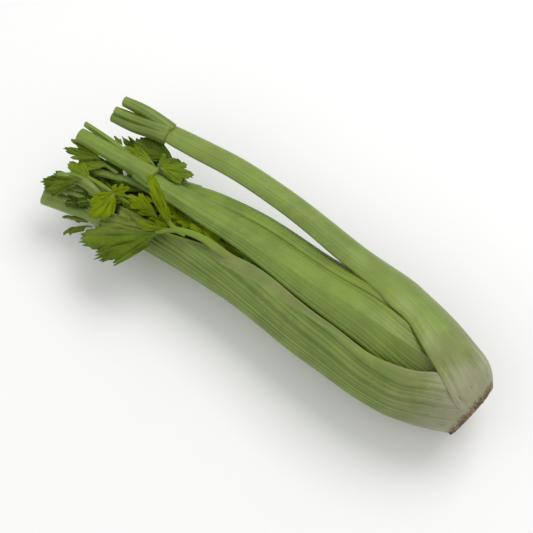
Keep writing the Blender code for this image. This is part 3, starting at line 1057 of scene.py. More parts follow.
    def relief(self, skin: Skin) -> np.ndarray:
        """How far each point stands out from the plain wall.

        Args:
            skin: The skin.

        Returns:
            The height of each.
        """
        ribs = skin.fade * self.rib_depth * skin.settled
        relief = ribs * (self.BACK_LEVEL - skin.hollow) * (1 - skin.on_film)
        if self.edge:
            relief -= skin.on_back * self.flattening(skin)
            relief += crest(skin.u - skin.edge, self.EDGE_CREST, skin.fade)
        film_edge = crest(skin.u - skin.filmed, self.FILM_CREST) * rise(skin.filmed, *self.FILM_STARTS)
        relief += skin.on_back * (film_edge - self.FILM_SINK * skin.on_film)
        for ridge in self.ridges:
            relief += crest(skin.lined_at, ridge, skin.fade) * (1 - rise(skin.x, *self.RIDGES_END))
        if self.branches:
            relief += crest(skin.from_node, self.NODE_RING) - crest(skin.from_node, self.NODE_NICK)
        return relief

    def mark_skin(self, piece: bpy.types.Object, skin: Skin) -> None:
        """Writes what the skin's material reads.

        Args:
            piece: The stalk.
            skin: The skin.
        """
        pale = self.PALE * rise(skin.x, *self.PALING)
        reach = skin.x + self.MARGIN_BLANCHED * skin.u**2
        pale += self.BLANCHED * rise(reach, self.blanched_from, self.BLANCHED_AT)
        usual = float(np.median([key[4] for key in self.rows]))
        inner = np.maximum(1 - skin.on_back, skin.on_film)
        mark(piece, "skin", skin.lined_at * usual / 2 * MM, skin.x * MM, inner)
        # Painted shade: the furrows between the ribs are darkened where shade falls in them.
        hollow = skin.hollow
        # Painted shade: the face beyond the edge, turned away from the light, is darkened.
        if self.edge:
            beyond = rise(skin.u, skin.edge, skin.edge + self.EDGE_SHADE_OVER)
            hollow = np.maximum(hollow, self.EDGE_SHADE * beyond)
        shown = min(1.0, self.rib_depth / self.FULL_RIBS)
        furrow_shade = hollow * skin.fade * skin.settled * (1 - skin.on_film) * shown
        if self.branches:
            pale += crest(skin.from_node, self.NODE_PALE)
            furrow_shade = np.maximum(furrow_shade, crest(skin.from_node, self.NODE_DARK))
        mark(piece, "tone_and_shade", furrow_shade, pale, 0.0)

    def wrap(self) -> bpy.types.Object:
        """Wraps a grid into the stalk's skin.

        Returns:
            The new object.
        """
        x, past, close = self.rings()
        back = np.linspace(-1, 1, self.back_faces + 1)
        turn = np.linspace(0, math.pi, self.margin_faces + 1)[1:-1]
        margin = np.ones(len(turn))
        places = np.concatenate([back, margin, back[::-1], -margin, back[:1]])
        turns = np.concatenate([np.zeros(len(back)), turn, np.full(len(back), math.pi), turn[::-1], [0.0]])
        piece, column, row = sheet_of_faces(self.name, len(places) - 1, len(x) - 1)
        u, angle = places[column], turns[column]
        table, centre, side, normal, along = self.section(x[row])
        skin = self.features(x, row, u, angle, table)
        bend = u * skin.curl / 2
        outward = np.sin(bend)[:, None] * side + np.cos(bend)[:, None] * normal
        sideways = np.cos(bend)[:, None] * side - np.sin(bend)[:, None] * normal
        thick = table[:, 4] * (1 - self.MARGIN_THINNING * u**2)
        arc = skin.radius[:, None] * (np.sin(bend)[:, None] * side + (np.cos(bend) - 1)[:, None] * normal)
        middle = centre + arc - outward * thick[:, None] / 2
        half_wall = (thick / 2 * (1 - close[row]))[:, None]
        rim = np.cos(angle)[:, None] * outward + (np.sin(angle) * np.sign(u))[:, None] * sideways
        points = middle + half_wall * rim + ((1 - close[row]) * self.relief(skin))[:, None] * outward
        points += past[row][:, None] * along
        shape(piece, points)
        self.mark_skin(piece, skin)
        close_up(piece)
        return piece

    def build(self) -> bpy.types.Object:
        """Builds the stalk with its branches.

        Returns:
            The joined object.
        """
        pieces = [self.wrap()]
        for number, branch in enumerate(self.branches):
            pieces.append(branch.build(f"{self.name}_{number}"))
        return joined(pieces)


# ---------------------------------------------------------------------------------------------- leaves


@dataclass(frozen=True)
class Outline:
    """A leaflet's form: how long its side lobes are, its lobes, notches, teeth, pleats and droop."""

    side: float = 0.6
    lobes: int = 3
    sinus: float = 0.25
    teeth: int = 4
    pleat: float = 0.03
    droop: float = 0.12


@dataclass(frozen=True)
class Blade:
    """One leaflet: where it starts and ends as x, r and phi, how it is turned and spread, and its outline."""

    base: tuple[float, float, float]
    tip: tuple[float, float, float]
    roll: float
    spread: float
    outline: Outline = Outline()
    # Above 0, the leaflet's youth tone; below 0, painted shade on a leaflet that lies in shade.
    young: float = 0.0
    saw: float = 0.062
    # Painted light on one half of the leaflet and painted shade on the other.
    painted_side_light: float = 0.0
    rib: float = 0.0
    # Painted light on the leaflet's upper half, given as the stem's paler tone.
    pale: float = 0.0


@dataclass
class LeafSpray:
    """A leaf: its stem and the leaflets on it."""

    name: str
    node: str
    stems: tuple[Rows, ...]
    blades: tuple[Blade, ...]
    seed: int = 3
    across: int = 90
    along: int = 18
    thickness: float = 0.4
    young: bool = False

    # The reach between the lobes, how it falls to the sides, how unlike the lobes are, and their folds.
    LEAST_REACH = 0.12
    SIDE_POWER = 1.2
    UNLIKE = 0.04
    FOLD_HALF = 0.28
    # Where a tooth's tip stands between two notches, how far the teeth lean, and how uneven they are.
    TOOTH_TIP = 0.68
    TEETH_LEAN = (0.12, 2.6)
    TEETH_UNEVEN = ((0.4, 7), (0.3, 17))
    # How far the blade waves and crinkles, as shares of its length, and how often.
    WAVE = 0.12
    WAVES = (2.3, 1.9, 0.0)
    CRINKLE = 0.035
    CRINKLES = (7.0, 5.0, 4.0)
    # Where the blade's end corners are cut back, and by how much.
    CORNER = (0.86, 1.0)
    CORNER_CUT = 0.55
    # How wide the blade is spread at its base, as a share of its whole spread.
    BASE_SPREAD = 0.72
    PLEATS_START = (0.05, 0.5)
    # The stem's tone on the blade: at its base and along its middle rib, and as painted light across its lit
    # half.
    BASE_TONE = 0.75
    BASE_TONE_ENDS = (0.0, 0.22)
    RIB_HALF = 0.035
    RIB_ENDS = (0.35, 0.95)
    PAINTED_LIGHT_OVER = (-0.3, 0.5)
    # The leaf's length, in millimetres, at which its veins have their usual width.
    VEINS_AT = 12

    def reach(
        self, outline: Outline, saw: float, a: np.ndarray, draw: np.random.Generator
    ) -> tuple[np.ndarray, np.ndarray]:
        """How far out the outline stands, with its lobes and teeth.

        Args:
            outline: The leaflet's outline.
            saw: The depth of its teeth.
            a: Places across the leaflet, from -1 to 1.
            draw: The leaflet's random draws.

        Returns:
            The reach at each as a share of the length, and how near each is to a lobe's middle.
        """
        lobes = outline.lobes
        reach = np.full_like(a, self.LEAST_REACH)
        fold = np.zeros_like(a)
        for lobe in range(lobes):
            centre = (2 * lobe + 1) / lobes - 1
            shorter = (1 - outline.side) * abs(centre) ** self.SIDE_POWER
            long = 1 - shorter + draw.uniform(-self.UNLIKE, self.UNLIKE)
            off = (a - centre) * lobes
            reach = np.maximum(reach, long * (1 - outline.sinus * np.abs(off) ** 2.0))
            fold = np.maximum(fold, hump(off, 0.0, self.FOLD_HALF))
        lean, often = self.TEETH_LEAN
        leaning = a + lean * np.sin(often * a) / lobes
        tooth = ((leaning + 1) / 2 * (lobes * outline.teeth)) % 1
        bite = np.where(tooth < self.TOOTH_TIP, tooth / self.TOOTH_TIP, (1 - tooth) / (1 - self.TOOTH_TIP))
        uneven = np.ones_like(a)
        for amount, often in self.TEETH_UNEVEN:
            uneven += amount * np.sin(often * a + draw.uniform(0, 6))
        reach *= 1 - saw * (1 - bite) * uneven
        reach *= 1 - self.CORNER_CUT * rise(np.abs(a), *self.CORNER)
        return reach, fold

    def mark_blade(
        self, piece: bpy.types.Object, spec: Blade, a: np.ndarray, s: np.ndarray, length: float
    ) -> None:
        """Writes what the leaf's material reads.

        Args:
            piece: The leaflet.
            spec: Its place and outline.
            a: Each point's place across it.
            s: Each point's place along it.
            length: Its length.
        """
        stemlike = self.BASE_TONE * (1 - rise(s, *self.BASE_TONE_ENDS))
        midrib = spec.rib * hump(a * (s + 0.08), 0.0, self.RIB_HALF) * (1 - rise(s, *self.RIB_ENDS))
        # Painted light: the upper half takes the stem's paler tone.
        stemlike = np.maximum(np.maximum(stemlike, midrib), spec.pale * rise(a, *self.PAINTED_LIGHT_OVER))
        lobes = spec.outline.lobes
        mark(piece, "skin", a, s, lobes)
        wide = math.radians(spec.spread) * length / lobes / self.VEINS_AT
        # Painted light on one half and painted shade on the other, added to the youth tone.
        mark(piece, "tone_and_shade", stemlike, spec.young + spec.painted_side_light * a, wide)

    def blade(self, spec: Blade, number: int) -> bpy.types.Object:
        """Wraps a grid into one leaflet and gives it its thickness.

        Args:
            spec: The leaflet's place and outline.
            number: Its number on the leaf.

        Returns:
            The new object.
        """
        draw = np.random.default_rng(self.seed * 100 + number)
        piece, column, row = sheet_of_faces(f"{self.name}_{number}", self.across, self.along)
        a = 2 * column / self.across - 1
        s = row / self.along
        base, tip = spot(*spec.base)[0], spot(*spec.tip)[0]
        length = np.linalg.norm(tip - base)
        forward = (tip - base) / length
        level = np.array([0.0, 0.0, 1.0])
        level = unit(level - forward * (level @ forward))
        roll = math.radians(spec.roll)
        up = level * math.cos(roll) + np.cross(forward, level) * math.sin(roll)
        side = np.cross(forward, up)
        reach, middles = self.reach(spec.outline, spec.saw, a, draw)
        out = length * s * reach
        angle = np.radians(spec.spread) * a * (self.BASE_SPREAD + (1 - self.BASE_SPREAD) * s)
        seed = Vector((self.seed * 3.1, number * 5.7, 0.0))
        wave, crinkle = (
            np.array([noise.noise(seed + Vector((over * u, up_by * v, level_at))) for u, v in zip(a, s)])
            for over, up_by, level_at in (self.WAVES, self.CRINKLES)
        )
        pleats = spec.outline.pleat * (0.5 - middles) * rise(s, *self.PLEATS_START)
        lift = length * (pleats + spec.outline.droop * (s - s**2))
        lift += length * (self.WAVE * wave + self.CRINKLE * crinkle) * s
        points = base + (out * np.cos(angle))[:, None] * forward + (out * np.sin(angle))[:, None] * side
        points += lift[:, None] * up
        shape(piece, points)
        self.mark_blade(piece, spec, a, s, length)
        close_up(piece)
        wall = piece.modifiers.new("thickness", "SOLIDIFY")
        wall.thickness = self.thickness * MM
        wall.offset = 0.0
        activate(piece)
        bpy.ops.object.modifier_apply(modifier=wall.name)
        return piece

    def build(self) -> bpy.types.Object:
        """Builds the leaf.

        Returns:
            The joined object.
        """
        pieces = []
        for number, rows in enumerate(self.stems):
            stem = Branch(rows, channel_towards=20.0, channel=0.3, flare=0.15, around=20)
            pieces.append(stem.build(f"{self.name}_stem_{number}", leaf_stem=True))
        for number, spec in enumerate(self.blades):
            pieces.append(self.blade(spec, number))
        made = joined(pieces)
        made.name = self.name
        return made


# ---------------------------------------------------------------------------------------------- crown


@dataclass
class Crown:
    """The stem plate: a core that tapers inside the stalks, and the corky face where the head was cut.

    The brow's rows are x from the face and a distance out from its rim. The knob stands at an angle round the
    face. A wave is its count round the face, its depth and its turn. A band is how far the stalks' cut ends
    stand from the middle and half their thickness there.
    """

    name: str = "cut_crown"
    node: str = "crown"
    face_x: float = 174.0
    aside: tuple[float, float] = (-2.7, -1.0)
    rim: float = 20.0
    layers_rim: float = 23.0
    bulge: float = 0.5
    knob: Crest = (100.0, 0.05, 16.0)
    sides: int = 216
    ring: float = 1.1
    brow: Rows = ((-0.7, 0.4), (-1.8, 0.3), (-2.9, -0.8))
    core: Rows = ((168.4, 17.0), (164.0, 14.5), (154.0, 12.0), (140.0, 8.0), (126.0, 3.0))
    waves: Rows = (
        (2, 0.02, 40),
        (3, 0.025, 70),
        (5, 0.03, 10),
        (8, 0.012, 25),
        (19, 0.008, 60),
        (31, 0.006, 10),
    )
    outer_band: Span = (22.6, 2.2)
    inner_band: Span = (18.2, 1.7)
    pith: Span = (14.2, 15.2)
    aside_over: Span = (150.0, 168.0)

    # Heights on the face: its stalk ends, seams, fine and coarse roughness, crumbs and rounded rim.
    ENDS = 0.55
    SEAMS = 0.5
    FINE = 0.42
    COARSE = 0.6
    CRUMBS = 0.35
    ROUNDING = 0.4
    # How much the fine and the coarse roughness are shrunk.
    FINE_SCALE = 0.55
    FRACTAL = (0.9, 2.1, 4)
    COARSE_SCALE = 0.16
    # How far in from the rim it is rounded, and how far in it crumbles.
    ROUNDED = 2.0
    CRUMBLED = 3
    # How far the middle of a stalk's cut end stands out beyond its sides.
    BOW = 0.8
    PITH_TONE = 0.7

    def lobes(self, angle: np.ndarray) -> np.ndarray:
        """How far out the outline stands.

        Args:
            angle: Angles round it, in radians.

        Returns:
            Its distance at each, as a share of its radius.
        """
        out = np.ones_like(angle)
        for count, depth, turned in self.waves:
            out += depth * np.cos(count * angle + math.radians(turned))
        return out + crest(np.degrees(angle), self.knob)

    def layers(self, y: np.ndarray, z: np.ndarray) -> np.ndarray:
        """The cut ends of the stalks on the face.

        Args:
            y: Places across the face, from its middle.
            z: Places up the face, from its middle.

        Returns:
            Each place's value: near 1 inside a stalk's cut end, and 0 in the seams between them.
        """
        r = np.hypot(y, z) * self.layers_rim / self.rim
        phi = np.degrees(np.arctan2(-y, z))
        inside = np.zeros_like(r)
        for stalks, (middle, half) in ((OUTER, self.outer_band), (INNER, self.inner_band)):
            for stalk in stalks:
                row = stalk.rows[0]
                away = np.abs((phi - row[2] + 180) % 360 - 180) / math.degrees(row[4] / 2 / middle)
                band = 1 - np.abs(r - middle - self.BOW * (1 - away**2)) / half
                inside = np.maximum(inside, rise(band, 0.0, 0.45) * (1 - rise(away, 0.96, 1.06)))
        return np.maximum(inside, self.PITH_TONE * (1 - rise(r, *self.pith)))

    def plate(self) -> bpy.types.Object:
        """Makes a disc, inset ring by ring, with the core extruded from its back.

        Returns:
            The new object.
        """
        deselect()
        upright = (0.0, math.radians(90), 0.0)
        sizes = {"vertices": self.sides, "radius": self.rim, "rotation": upright}
        bpy.ops.mesh.primitive_circle_add(fill_type="NGON", **sizes)
        piece = bpy.context.object
        piece.name = self.name
        piece.data.name = self.name
        bpy.ops.object.transform_apply(location=False, rotation=True, scale=False)
        bpy.ops.object.mode_set(mode="EDIT")
        bpy.ops.mesh.select_all(action="SELECT")
        for _ in range(round(self.rim / self.ring) - 1):
            bpy.ops.mesh.inset(thickness=self.ring, depth=0.0)
        bpy.ops.mesh.poke()
        bpy.ops.mesh.select_all(action="DESELECT")
        bpy.ops.mesh.select_non_manifold()
        steps = [(x, self.rim + out) for x, out in self.brow] + [(x - self.face_x, r) for x, r in self.core]
        last_x, last_r = 0.0, self.rim
        for x, radius in steps:
            bpy.ops.mesh.extrude_region_move(TRANSFORM_OT_translate={"value": (x - last_x, 0.0, 0.0)})
            bpy.ops.transform.resize(value=(1.0, radius / last_r, radius / last_r))
            last_x, last_r = x, radius
        bpy.ops.mesh.fill()
        bpy.ops.mesh.select_all(action="SELECT")
        bpy.ops.mesh.normals_make_consistent(inside=False)
        bpy.ops.object.mode_set(mode="OBJECT")
        return piece

    def build(self) -> bpy.types.Object:
        """Builds the crown and roughens its face.

        Returns:
            The new object.
        """
        piece = self.plate()
        flat = points_of(piece)
        x, y, z = flat.T
        angle = np.arctan2(-y, z)
        lobed = self.lobes(angle)
        r = np.hypot(y, z)
        filled = self.layers(y * lobed, z * lobed)
        rough = np.array([noise.fractal(Vector(p) * self.FINE_SCALE, *self.FRACTAL) for p in flat])
        coarse = np.array([noise.noise(Vector(p) * self.COARSE_SCALE) for p in flat])
        on_face = x > -0.1
        uneven = self.ENDS * filled - self.SEAMS + self.FINE * rough + self.COARSE * coarse
        rounded = rise(r, self.rim - self.ROUNDED, self.rim)
        round_off = self.bulge * (1 - (r / self.rim) ** 2) - self.ROUNDING * rounded
        raised = np.where(on_face, uneven, 0.0)
        raised += np.where(on_face, round_off, 0.0)
        crumbled = np.where(r > self.rim - self.CRUMBLED, self.CRUMBS * rough, 0.0)
        middle = smooth(MIDDLE, np.full(len(x), self.face_x))
        points = np.stack([self.face_x + x + raised, y * lobed, z * lobed], axis=1)
        points[:, 1:] *= (1 + crumbled / np.maximum(r, 1.0))[:, None]
        sideways = rise(self.face_x + x, *self.aside_over)[:, None] * np.array(self.aside)
        points[:, 1:] += middle + sideways
        shape(piece, points)
        mark(piece, "tone_and_shade", filled * on_face, r / self.rim, angle / math.pi)
        activate(piece)
        bpy.ops.object.shade_smooth()
        return piece


@dataclass(frozen=True)
class CutFinish:
    """The dried, browned face of the crown."""

    name: str = "dried_cut"
    slot: Slot = Slot.CROWN
    flesh: tuple[Colour, Colour] = ((0.34, 0.29, 0.16), (0.21, 0.155, 0.08))
    pore: Colour = (0.06, 0.042, 0.02)
    rim: Colour = (0.10, 0.068, 0.035)
    gloss: float = 0.2
    mottling: float = 0.7
    relief: Relief = Relief(0.8, 0.0006)

    def material(self, palette: Palette) -> bpy.types.Material:
        """Lays out the finish.

        Args:
            palette: The shared effects.

        Returns:
            The new material.
        """
        made, graph = palette.blank(self.name)
        place = graph.place()
        filled, out, _ = graph.apart(graph.marked("tone_and_shade"))
        cork = palette.use(graph, palette.cork, {"Place": place})
        fleck = graph.noise(place, 620.0, 4.0, 0.7)
        flesh = graph.blend(graph.ramp(fleck, 0.4, 0.62), *self.flesh)
        face = graph.blend(graph.times(graph.ramp(filled, 0.35, 0.85), 0.7), cork["Color"], flesh)
        pores = graph.add("TexVoronoi", {"Vector": place, "Scale": 480.0}).outputs["Distance"]
        pored = graph.blend(graph.times(graph.ramp(pores, 0.24, 0.12), 0.6), face, self.pore)
        edge = graph.blend(graph.ramp(out, 0.9, 1.0, (0.0, 0.5)), pored, self.rim)
        even = palette.mottled(graph, edge, place, self.mottling)
        rough = graph.ramp(fleck, 0.3, 0.7, (0.72, 0.95))
        palette.feed(graph, {"Base Color": even, "Roughness": rough}, cork["Height"], self.relief, self.gloss)
        return made


# ---------------------------------------------------------------------------------------------- tables

OUTER = (
    StalkBody(
        "right_stalk",
        "outer_stalk_right",
        (
            (BASE_X, 18.4, -28, 0, 48.9, 3, 136),
            (167, 26, -30, 0, 59.5, 3.3, 131),
            (160, 30.4, -33, 0, 67.4, 3.4, 127),
            (147, 34.6, -37.5, 0, 68, 4, 112),
            (125, 41, -42, 0, 63, 6, 94),
            (113, 43, -49, 4.5, 53.5, 6, 96),
            (98, 45.8, -53, 8, 52, 6, 108),
            (72, 48, -58, 20, 38, 6, 115),
            (34, 52.5, -60, 28, 32, 5.6, 128),
            (-19, 56, -60, 31, 30, 5.4, 134),
            (-64, 59.5, -60, 31, 30, 5.2, 138),
            (-92, 59, -59, 31, 28.6, 5.4, 140),
            (-113, 58.2, -58.2, 30, 25.6, 5.6, 142),
            (-122, 57.6, -57.6, 30, 22.5, 6, 150),
        ),
        (
            Branch(
                (
                    (-115, 54.4, -61, 12.6), (-124, 56.6, -57.5, 11.8), (-137, 59, -53, 10.4),
                    (-154, 59, -50.5, 8.4),
                ),
                95.0,
                0.4,
            ),
            Branch(
                (
                    (-115, 53.4, -58, 11), (-125, 52.6, -54.8, 10.6), (-140, 51, -51.4, 9),
                    (-157, 49.8, -49.2, 7.4),
                ),
                95.0,
                0.4,
            ),
            Branch(
                (
                    (-115, 50.2, -58, 12), (-125, 48.8, -55, 10.8), (-138, 46.2, -52.6, 9.4),
                    (-158, 44.6, -51.6, 7.6),
                ),
                200.0,
            ),
        ),
        ribs=13,
        # It blanches from further along than the others, which keeps its base darker: partly its own green,
        # partly painted shade where the base lies in shade.
        blanched_from=106.0,
        rib_depth=0.24,
        seed=11,
    ),
    StalkBody(
        "left_stalk",
        "outer_stalk_left",
        (
            (BASE_X, 22.6, 84, 0, 46, 4.2, 130),
            (160, 30.5, 79, 0, 67, 5.2, 144),
            (147, 36.4, 76, 0, 80, 5.8, 149),
            (130, 41, 78, 0, 70, 6.2, 102),
            (104, 43.4, 82, 0, 66, 6.4, 92),
            (60, 39, 79.5, 0, 63.5, 6.2, 104),
            (30, 36.4, 77.5, 0, 62, 6, 109),
            (0, 35.2, 75.5, 0, 60.5, 6, 116),
            (-30, 34.6, 77, 0, 53, 5.8, 120),
            (-60, 33.4, 80, 0, 42, 5.6, 118),
            (-100, 33, 84, 0, 29, 5.4, 120),
            (-130, 33.2, 86, 0, 25, 5.8, 130),
            (-138, 33, 86, 0, 26, 6.4, 135),
        ),
        (
            Branch(
                (
                    (-126, 27.5, 90, 16), (-135, 28.7, 87, 14), (-153, 32.5, 87, 12.8),
                    (-174, 36.1, 89, 12.4),
                ),
                20.0,
                0.3,
            ),
            Branch(
                ((-126, 26, 72, 13), (-134, 25.5, 66, 10), (-153, 26.5, 67, 8), (-175, 31.4, 77, 6.6)),
                20.0,
            ),
            Branch(
                (
                    (-122, 27, 60, 11), (-130, 26.5, 50, 9.5), (-141, 28, 43, 8.6), (-152, 29, 42, 7.8),
                    (-167, 30, 52, 6),
                ),
                70.0,
                0.5,
            ),
        ),
        ribs=20,
        rib_depth=0.95,
        groove_width=0.62,
        evenness=0.6,
        seed=5,
        steady=(111.0, 32.0, 18.0),
        ridges=((-0.68, 0.7, 0.09),),
        back_faces=120,
        film=(
            (110, -1), (86, -0.2), (62, 1.2), (46, 2.4), (30, 4.6), (12, 5.9), (-10, 7.8), (-26, 7),
            (-40, 2), (-60, -1), (-138, -1),
        ),
    ),
    StalkBody(
        "under_stalk",
        "outer_stalk_under",
        (
            (BASE_X, 22, 156, 0, 16, 4.2, 42),
            (160, 29.8, 156, 0, 22, 5.4, 42),
            (147, 35.2, 156, 0, 27, 6, 44),
            (125, 42, 153.5, 0, 38, 6.4, 80),
            (100, 43.5, 153, 0, 40, 6.4, 86),
            (60, 40, 156, 0, 38, 6, 90),
            (0, 37.5, 157.5, 0, 35, 5.8, 100),
            (-60, 35.5, 158, 0, 32, 5.6, 108),
            (-100, 35, 157, 0, 28, 5.4, 116),
            (-118, 35, 156, 0, 28, 6.4, 130),
        ),
        (
            Branch(((-115, 30, 148, 8), (-135, 31, 142, 7), (-160, 32, 136, 6.4)), 340.0),
            Branch(((-115, 29.5, 164, 8), (-135, 29.6, 168, 7.4), (-164, 29.4, 172, 7)), 340.0),
        ),
        ribs=8,
        seed=7,
    ),
    StalkBody(
        "back_stalk",
        "outer_stalk_back",
        (
            (BASE_X, 19.3, -137, 0, 31.5, 4.2, 86),
            (160, 29.8, -137, 0, 45, 5.4, 87),
            (147, 35, -137, 0, 54, 6, 92),
            (125, 41.6, -138.5, 0, 60, 6.4, 104),
            (100, 43.6, -141, 0, 52, 6.4, 100),
            (60, 40.5, -144, 0, 42, 6, 94),
            (0, 38.5, -146, 0, 38, 5.8, 104),
            (-60, 37, -148, 0, 33, 5.6, 110),
            (-98, 36, -148, 0, 29, 5.4, 118),
            (-108, 35.8, -148, 0, 30, 6.4, 132),
        ),
        (
            Branch(((-105, 30.8, -157, 8), (-128, 30.6, -162, 7.2), (-158, 30.4, -166, 6.8)), 30.0),
            Branch(((-105, 31, -141, 8), (-128, 33, -136, 6.8), (-150, 35.5, -131, 6.2)), 30.0),
        ),
        ribs=9,
        rib_depth=0.6,
        seed=9,
    ),
)

INNER = (
    StalkBody(
        "middle_stalk",
        "inner_stalk_middle",
        (
            (INNER_BASE_X, 21, 18, 0, 26, 4.4, 76),
            (140, 32, 18, 0, 36, 5, 80),
            (120, 37, 17, 0, 38, 5.4, 90),
            (104, 38.8, 13, 0, 37, 5.6, 98),
            (75, 38, 4, 0, 38, 5.6, 108),
            (50, 35.5, -3, 0, 37, 5.4, 114),
            (0, 33, -10, 0, 34, 5.2, 122),
            (-50, 32, -14, 0, 29, 5.2, 126),
            (-102, 31.5, -18, 0, 22, 5.2, 132),
            (-114, 31.5, -19, 0, 22, 6, 140),
        ),
        (
            Branch(
                (
                    (-104, 25.6, -20, 17), (-118, 27, -21.5, 14.6), (-138, 28.4, -19, 13.2),
                    (-169, 29.6, -17, 11.6),
                ),
                150.0,
            ),
            Branch(
                (
                    (-104, 25, -27, 7), (-124, 29.6, -26, 6.6), (-148, 33, -29.5, 5.4),
                    (-171, 34.4, -32.5, 4.2),
                ),
                60.0,
                0.5,
            ),
        ),
        ribs=13,
        rib_depth=0.55,
        seed=21,
        edge=(
            (-114, 0.58), (-24, 0.52), (28, 0.29), (68, 0.06), (95, -0.06), (115, -0.2), (135, -0.33),
            (161, -0.45),
        ),
        flatness=0.85,
    ),
    StalkBody(
        "behind_stalk",
        "inner_stalk_behind",
        (
            (INNER_BASE_X, 21, -54, 0, 25, 4.4, 74),
            (140, 29.8, -55, 0, 32, 5, 76),
            (120, 34.2, -52, 0, 37, 5.4, 76),
            (95, 36.5, -53, 0, 38, 5.4, 80),
            (50, 34.8, -65, 0, 34, 5.2, 106),
            (0, 34, -68, 0, 32, 5, 116),
            (-40, 33, -64.5, 0, 29.5, 5, 122),
            (-66, 31, -57, 0, 25, 5, 124),
            (-84, 27.6, -50, 0, 20, 5, 134),
        ),
        (
            Branch(((-75, 26, -54, 8), (-92, 23, -46, 7), (-112, 20, -38, 6)), 150.0),
            Branch(((-75, 26, -68, 8), (-98, 22.5, -62, 6.6), (-120, 20, -56, 5.6)), 150.0),
        ),
        ribs=11,
        seed=23,
    ),
    StalkBody(
        "low_back_stalk",
        "inner_stalk_back",
        (
            (INNER_BASE_X, 21, -114, 0, 19, 4.4, 54),
            (140, 29.8, -114, 0, 24, 5, 50),
            (120, 34, -114, 0, 26, 5.2, 48),
            (95, 35, -113, 0, 24, 5.2, 62),
            (50, 32, -113, 0, 18, 4.8, 86),
            (0, 31.6, -113, 0, 17, 4.6, 100),
            (-60, 32, -110, 0, 16, 4.4, 116),
            (-92, 32.5, -108, 0, 15, 4.4, 124),
            (-100, 32.5, -107, 0, 16, 5.2, 134),
        ),
        (
            Branch(((-98, 29.5, -101, 6), (-120, 31, -100, 5.4), (-146, 32, -99, 5)), 60.0),
            Branch(((-98, 29.5, -113, 6), (-120, 31, -116, 5.4), (-140, 32, -118, 5)), 60.0),
        ),
        ribs=7,
        seed=25,
        back_faces=64,
    ),
    StalkBody(
        "low_front_stalk",
        "inner_stalk_low",
        (
            (INNER_BASE_X, 21, 122, 0, 22, 4.4, 60),
            (140, 29.8, 122, 0, 28, 5, 58),
            (120, 34.2, 122, 0, 30, 5.2, 56),
            (95, 34.2, 122, 0, 27, 5.2, 70),
            (50, 29, 125, 0, 20, 4.4, 90),
            (0, 26.6, 126, 0, 17, 4.2, 104),
            (-60, 29, 124, 0, 16, 4.2, 112),
            (-104, 31, 122, 0, 15, 4.4, 124),
            (-112, 31, 122, 0, 16, 5.2, 134),
        ),
        (
            Branch(((-110, 28, 117, 5.6), (-128, 29.5, 113, 5), (-148, 31, 110, 4.6)), 300.0),
            Branch(((-110, 28, 127, 5.6), (-130, 29, 126, 5), (-154, 29.5, 123, 4.6)), 300.0),
        ),
        ribs=7,
        seed=27,
        back_faces=64,
    ),
)

# The width, wall and spanned angle of a heart stalk's sections.
HEART_SECTIONS: Rows = (
    (11, 3.4, 70),
    (17, 3.8, 80),
    (20, 3.8, 96),
    (17, 3.6, 110),
    (12, 3.4, 125),
    (8, 2.6, 140),
)
TALL_SECTIONS: Rows = (
    (11, 3.4, 70),
    (17, 3.8, 80),
    (18, 3.8, 96),
    (15, 3.6, 110),
    (11, 3.4, 125),
    (8, 2.8, 135),
    (7, 2.2, 140),
)


def heart_stalk(where: str, seed: int, course: Rows, sections: Rows = HEART_SECTIONS) -> StalkBody:
    """A thin stalk of the heart.

    Args:
        where: Its place in the heart, which names it and its node.
        seed: The seed of its ribs.
        course: Rows of x, r and phi.
        sections: Rows of width, wall and spanned angle.

    Returns:
        The stalk.
    """
    rows = tuple((*place, 0, *section) for place, section in zip(course, sections))
    names = f"heart_{where}", f"heart_stalk_{where}"
    return StalkBody(*names, rows, ribs=6, rib_depth=0.3, seed=seed, back_faces=44)


HEART = (
    heart_stalk(
        "front",
        31,
        (
            (HEART_BASE_X, 13, 96), (90, 20.5, 94), (40, 23.5, 92), (-20, 23.6, 90), (-80, 23, 94),
            (-128, 20, 100),
        ),
    ),
    heart_stalk(
        "top",
        32,
        (
            (HEART_BASE_X, 13, 24), (90, 21, 26), (40, 22, 22), (-20, 19.5, 14), (-70, 19.5, 2),
            (-109, 19.5, -9), (-150, 19.5, 20),
        ),
        TALL_SECTIONS,
    ),
    heart_stalk(
        "behind",
        33,
        (
            (HEART_BASE_X, 13, -48), (90, 21.5, -46), (40, 23, -48), (-20, 22.6, -50), (-80, 21.5, -56),
            (-136, 20, -54),
        ),
    ),
    heart_stalk(
        "back",
        34,
        (
            (HEART_BASE_X, 13, -120), (90, 21.5, -118), (40, 24, -116), (-20, 24, -112), (-80, 23.5, -112),
            (-142, 24, -108),
        ),
    ),
    heart_stalk(
        "low",
        35,
        (
            (HEART_BASE_X, 13, 168), (90, 21.5, 168), (40, 24.5, 170), (-20, 24, 174), (-80, 23, 178),
            (-132, 19, 174),
        ),
    ),
)

HEARTLET = Outline(sinus=0.22, pleat=0.04, droop=0.14)
TUFT = Outline(sinus=0.22, teeth=3, pleat=0.035)
SHADED = Outline(side=0.7, sinus=0.2, droop=0.1)

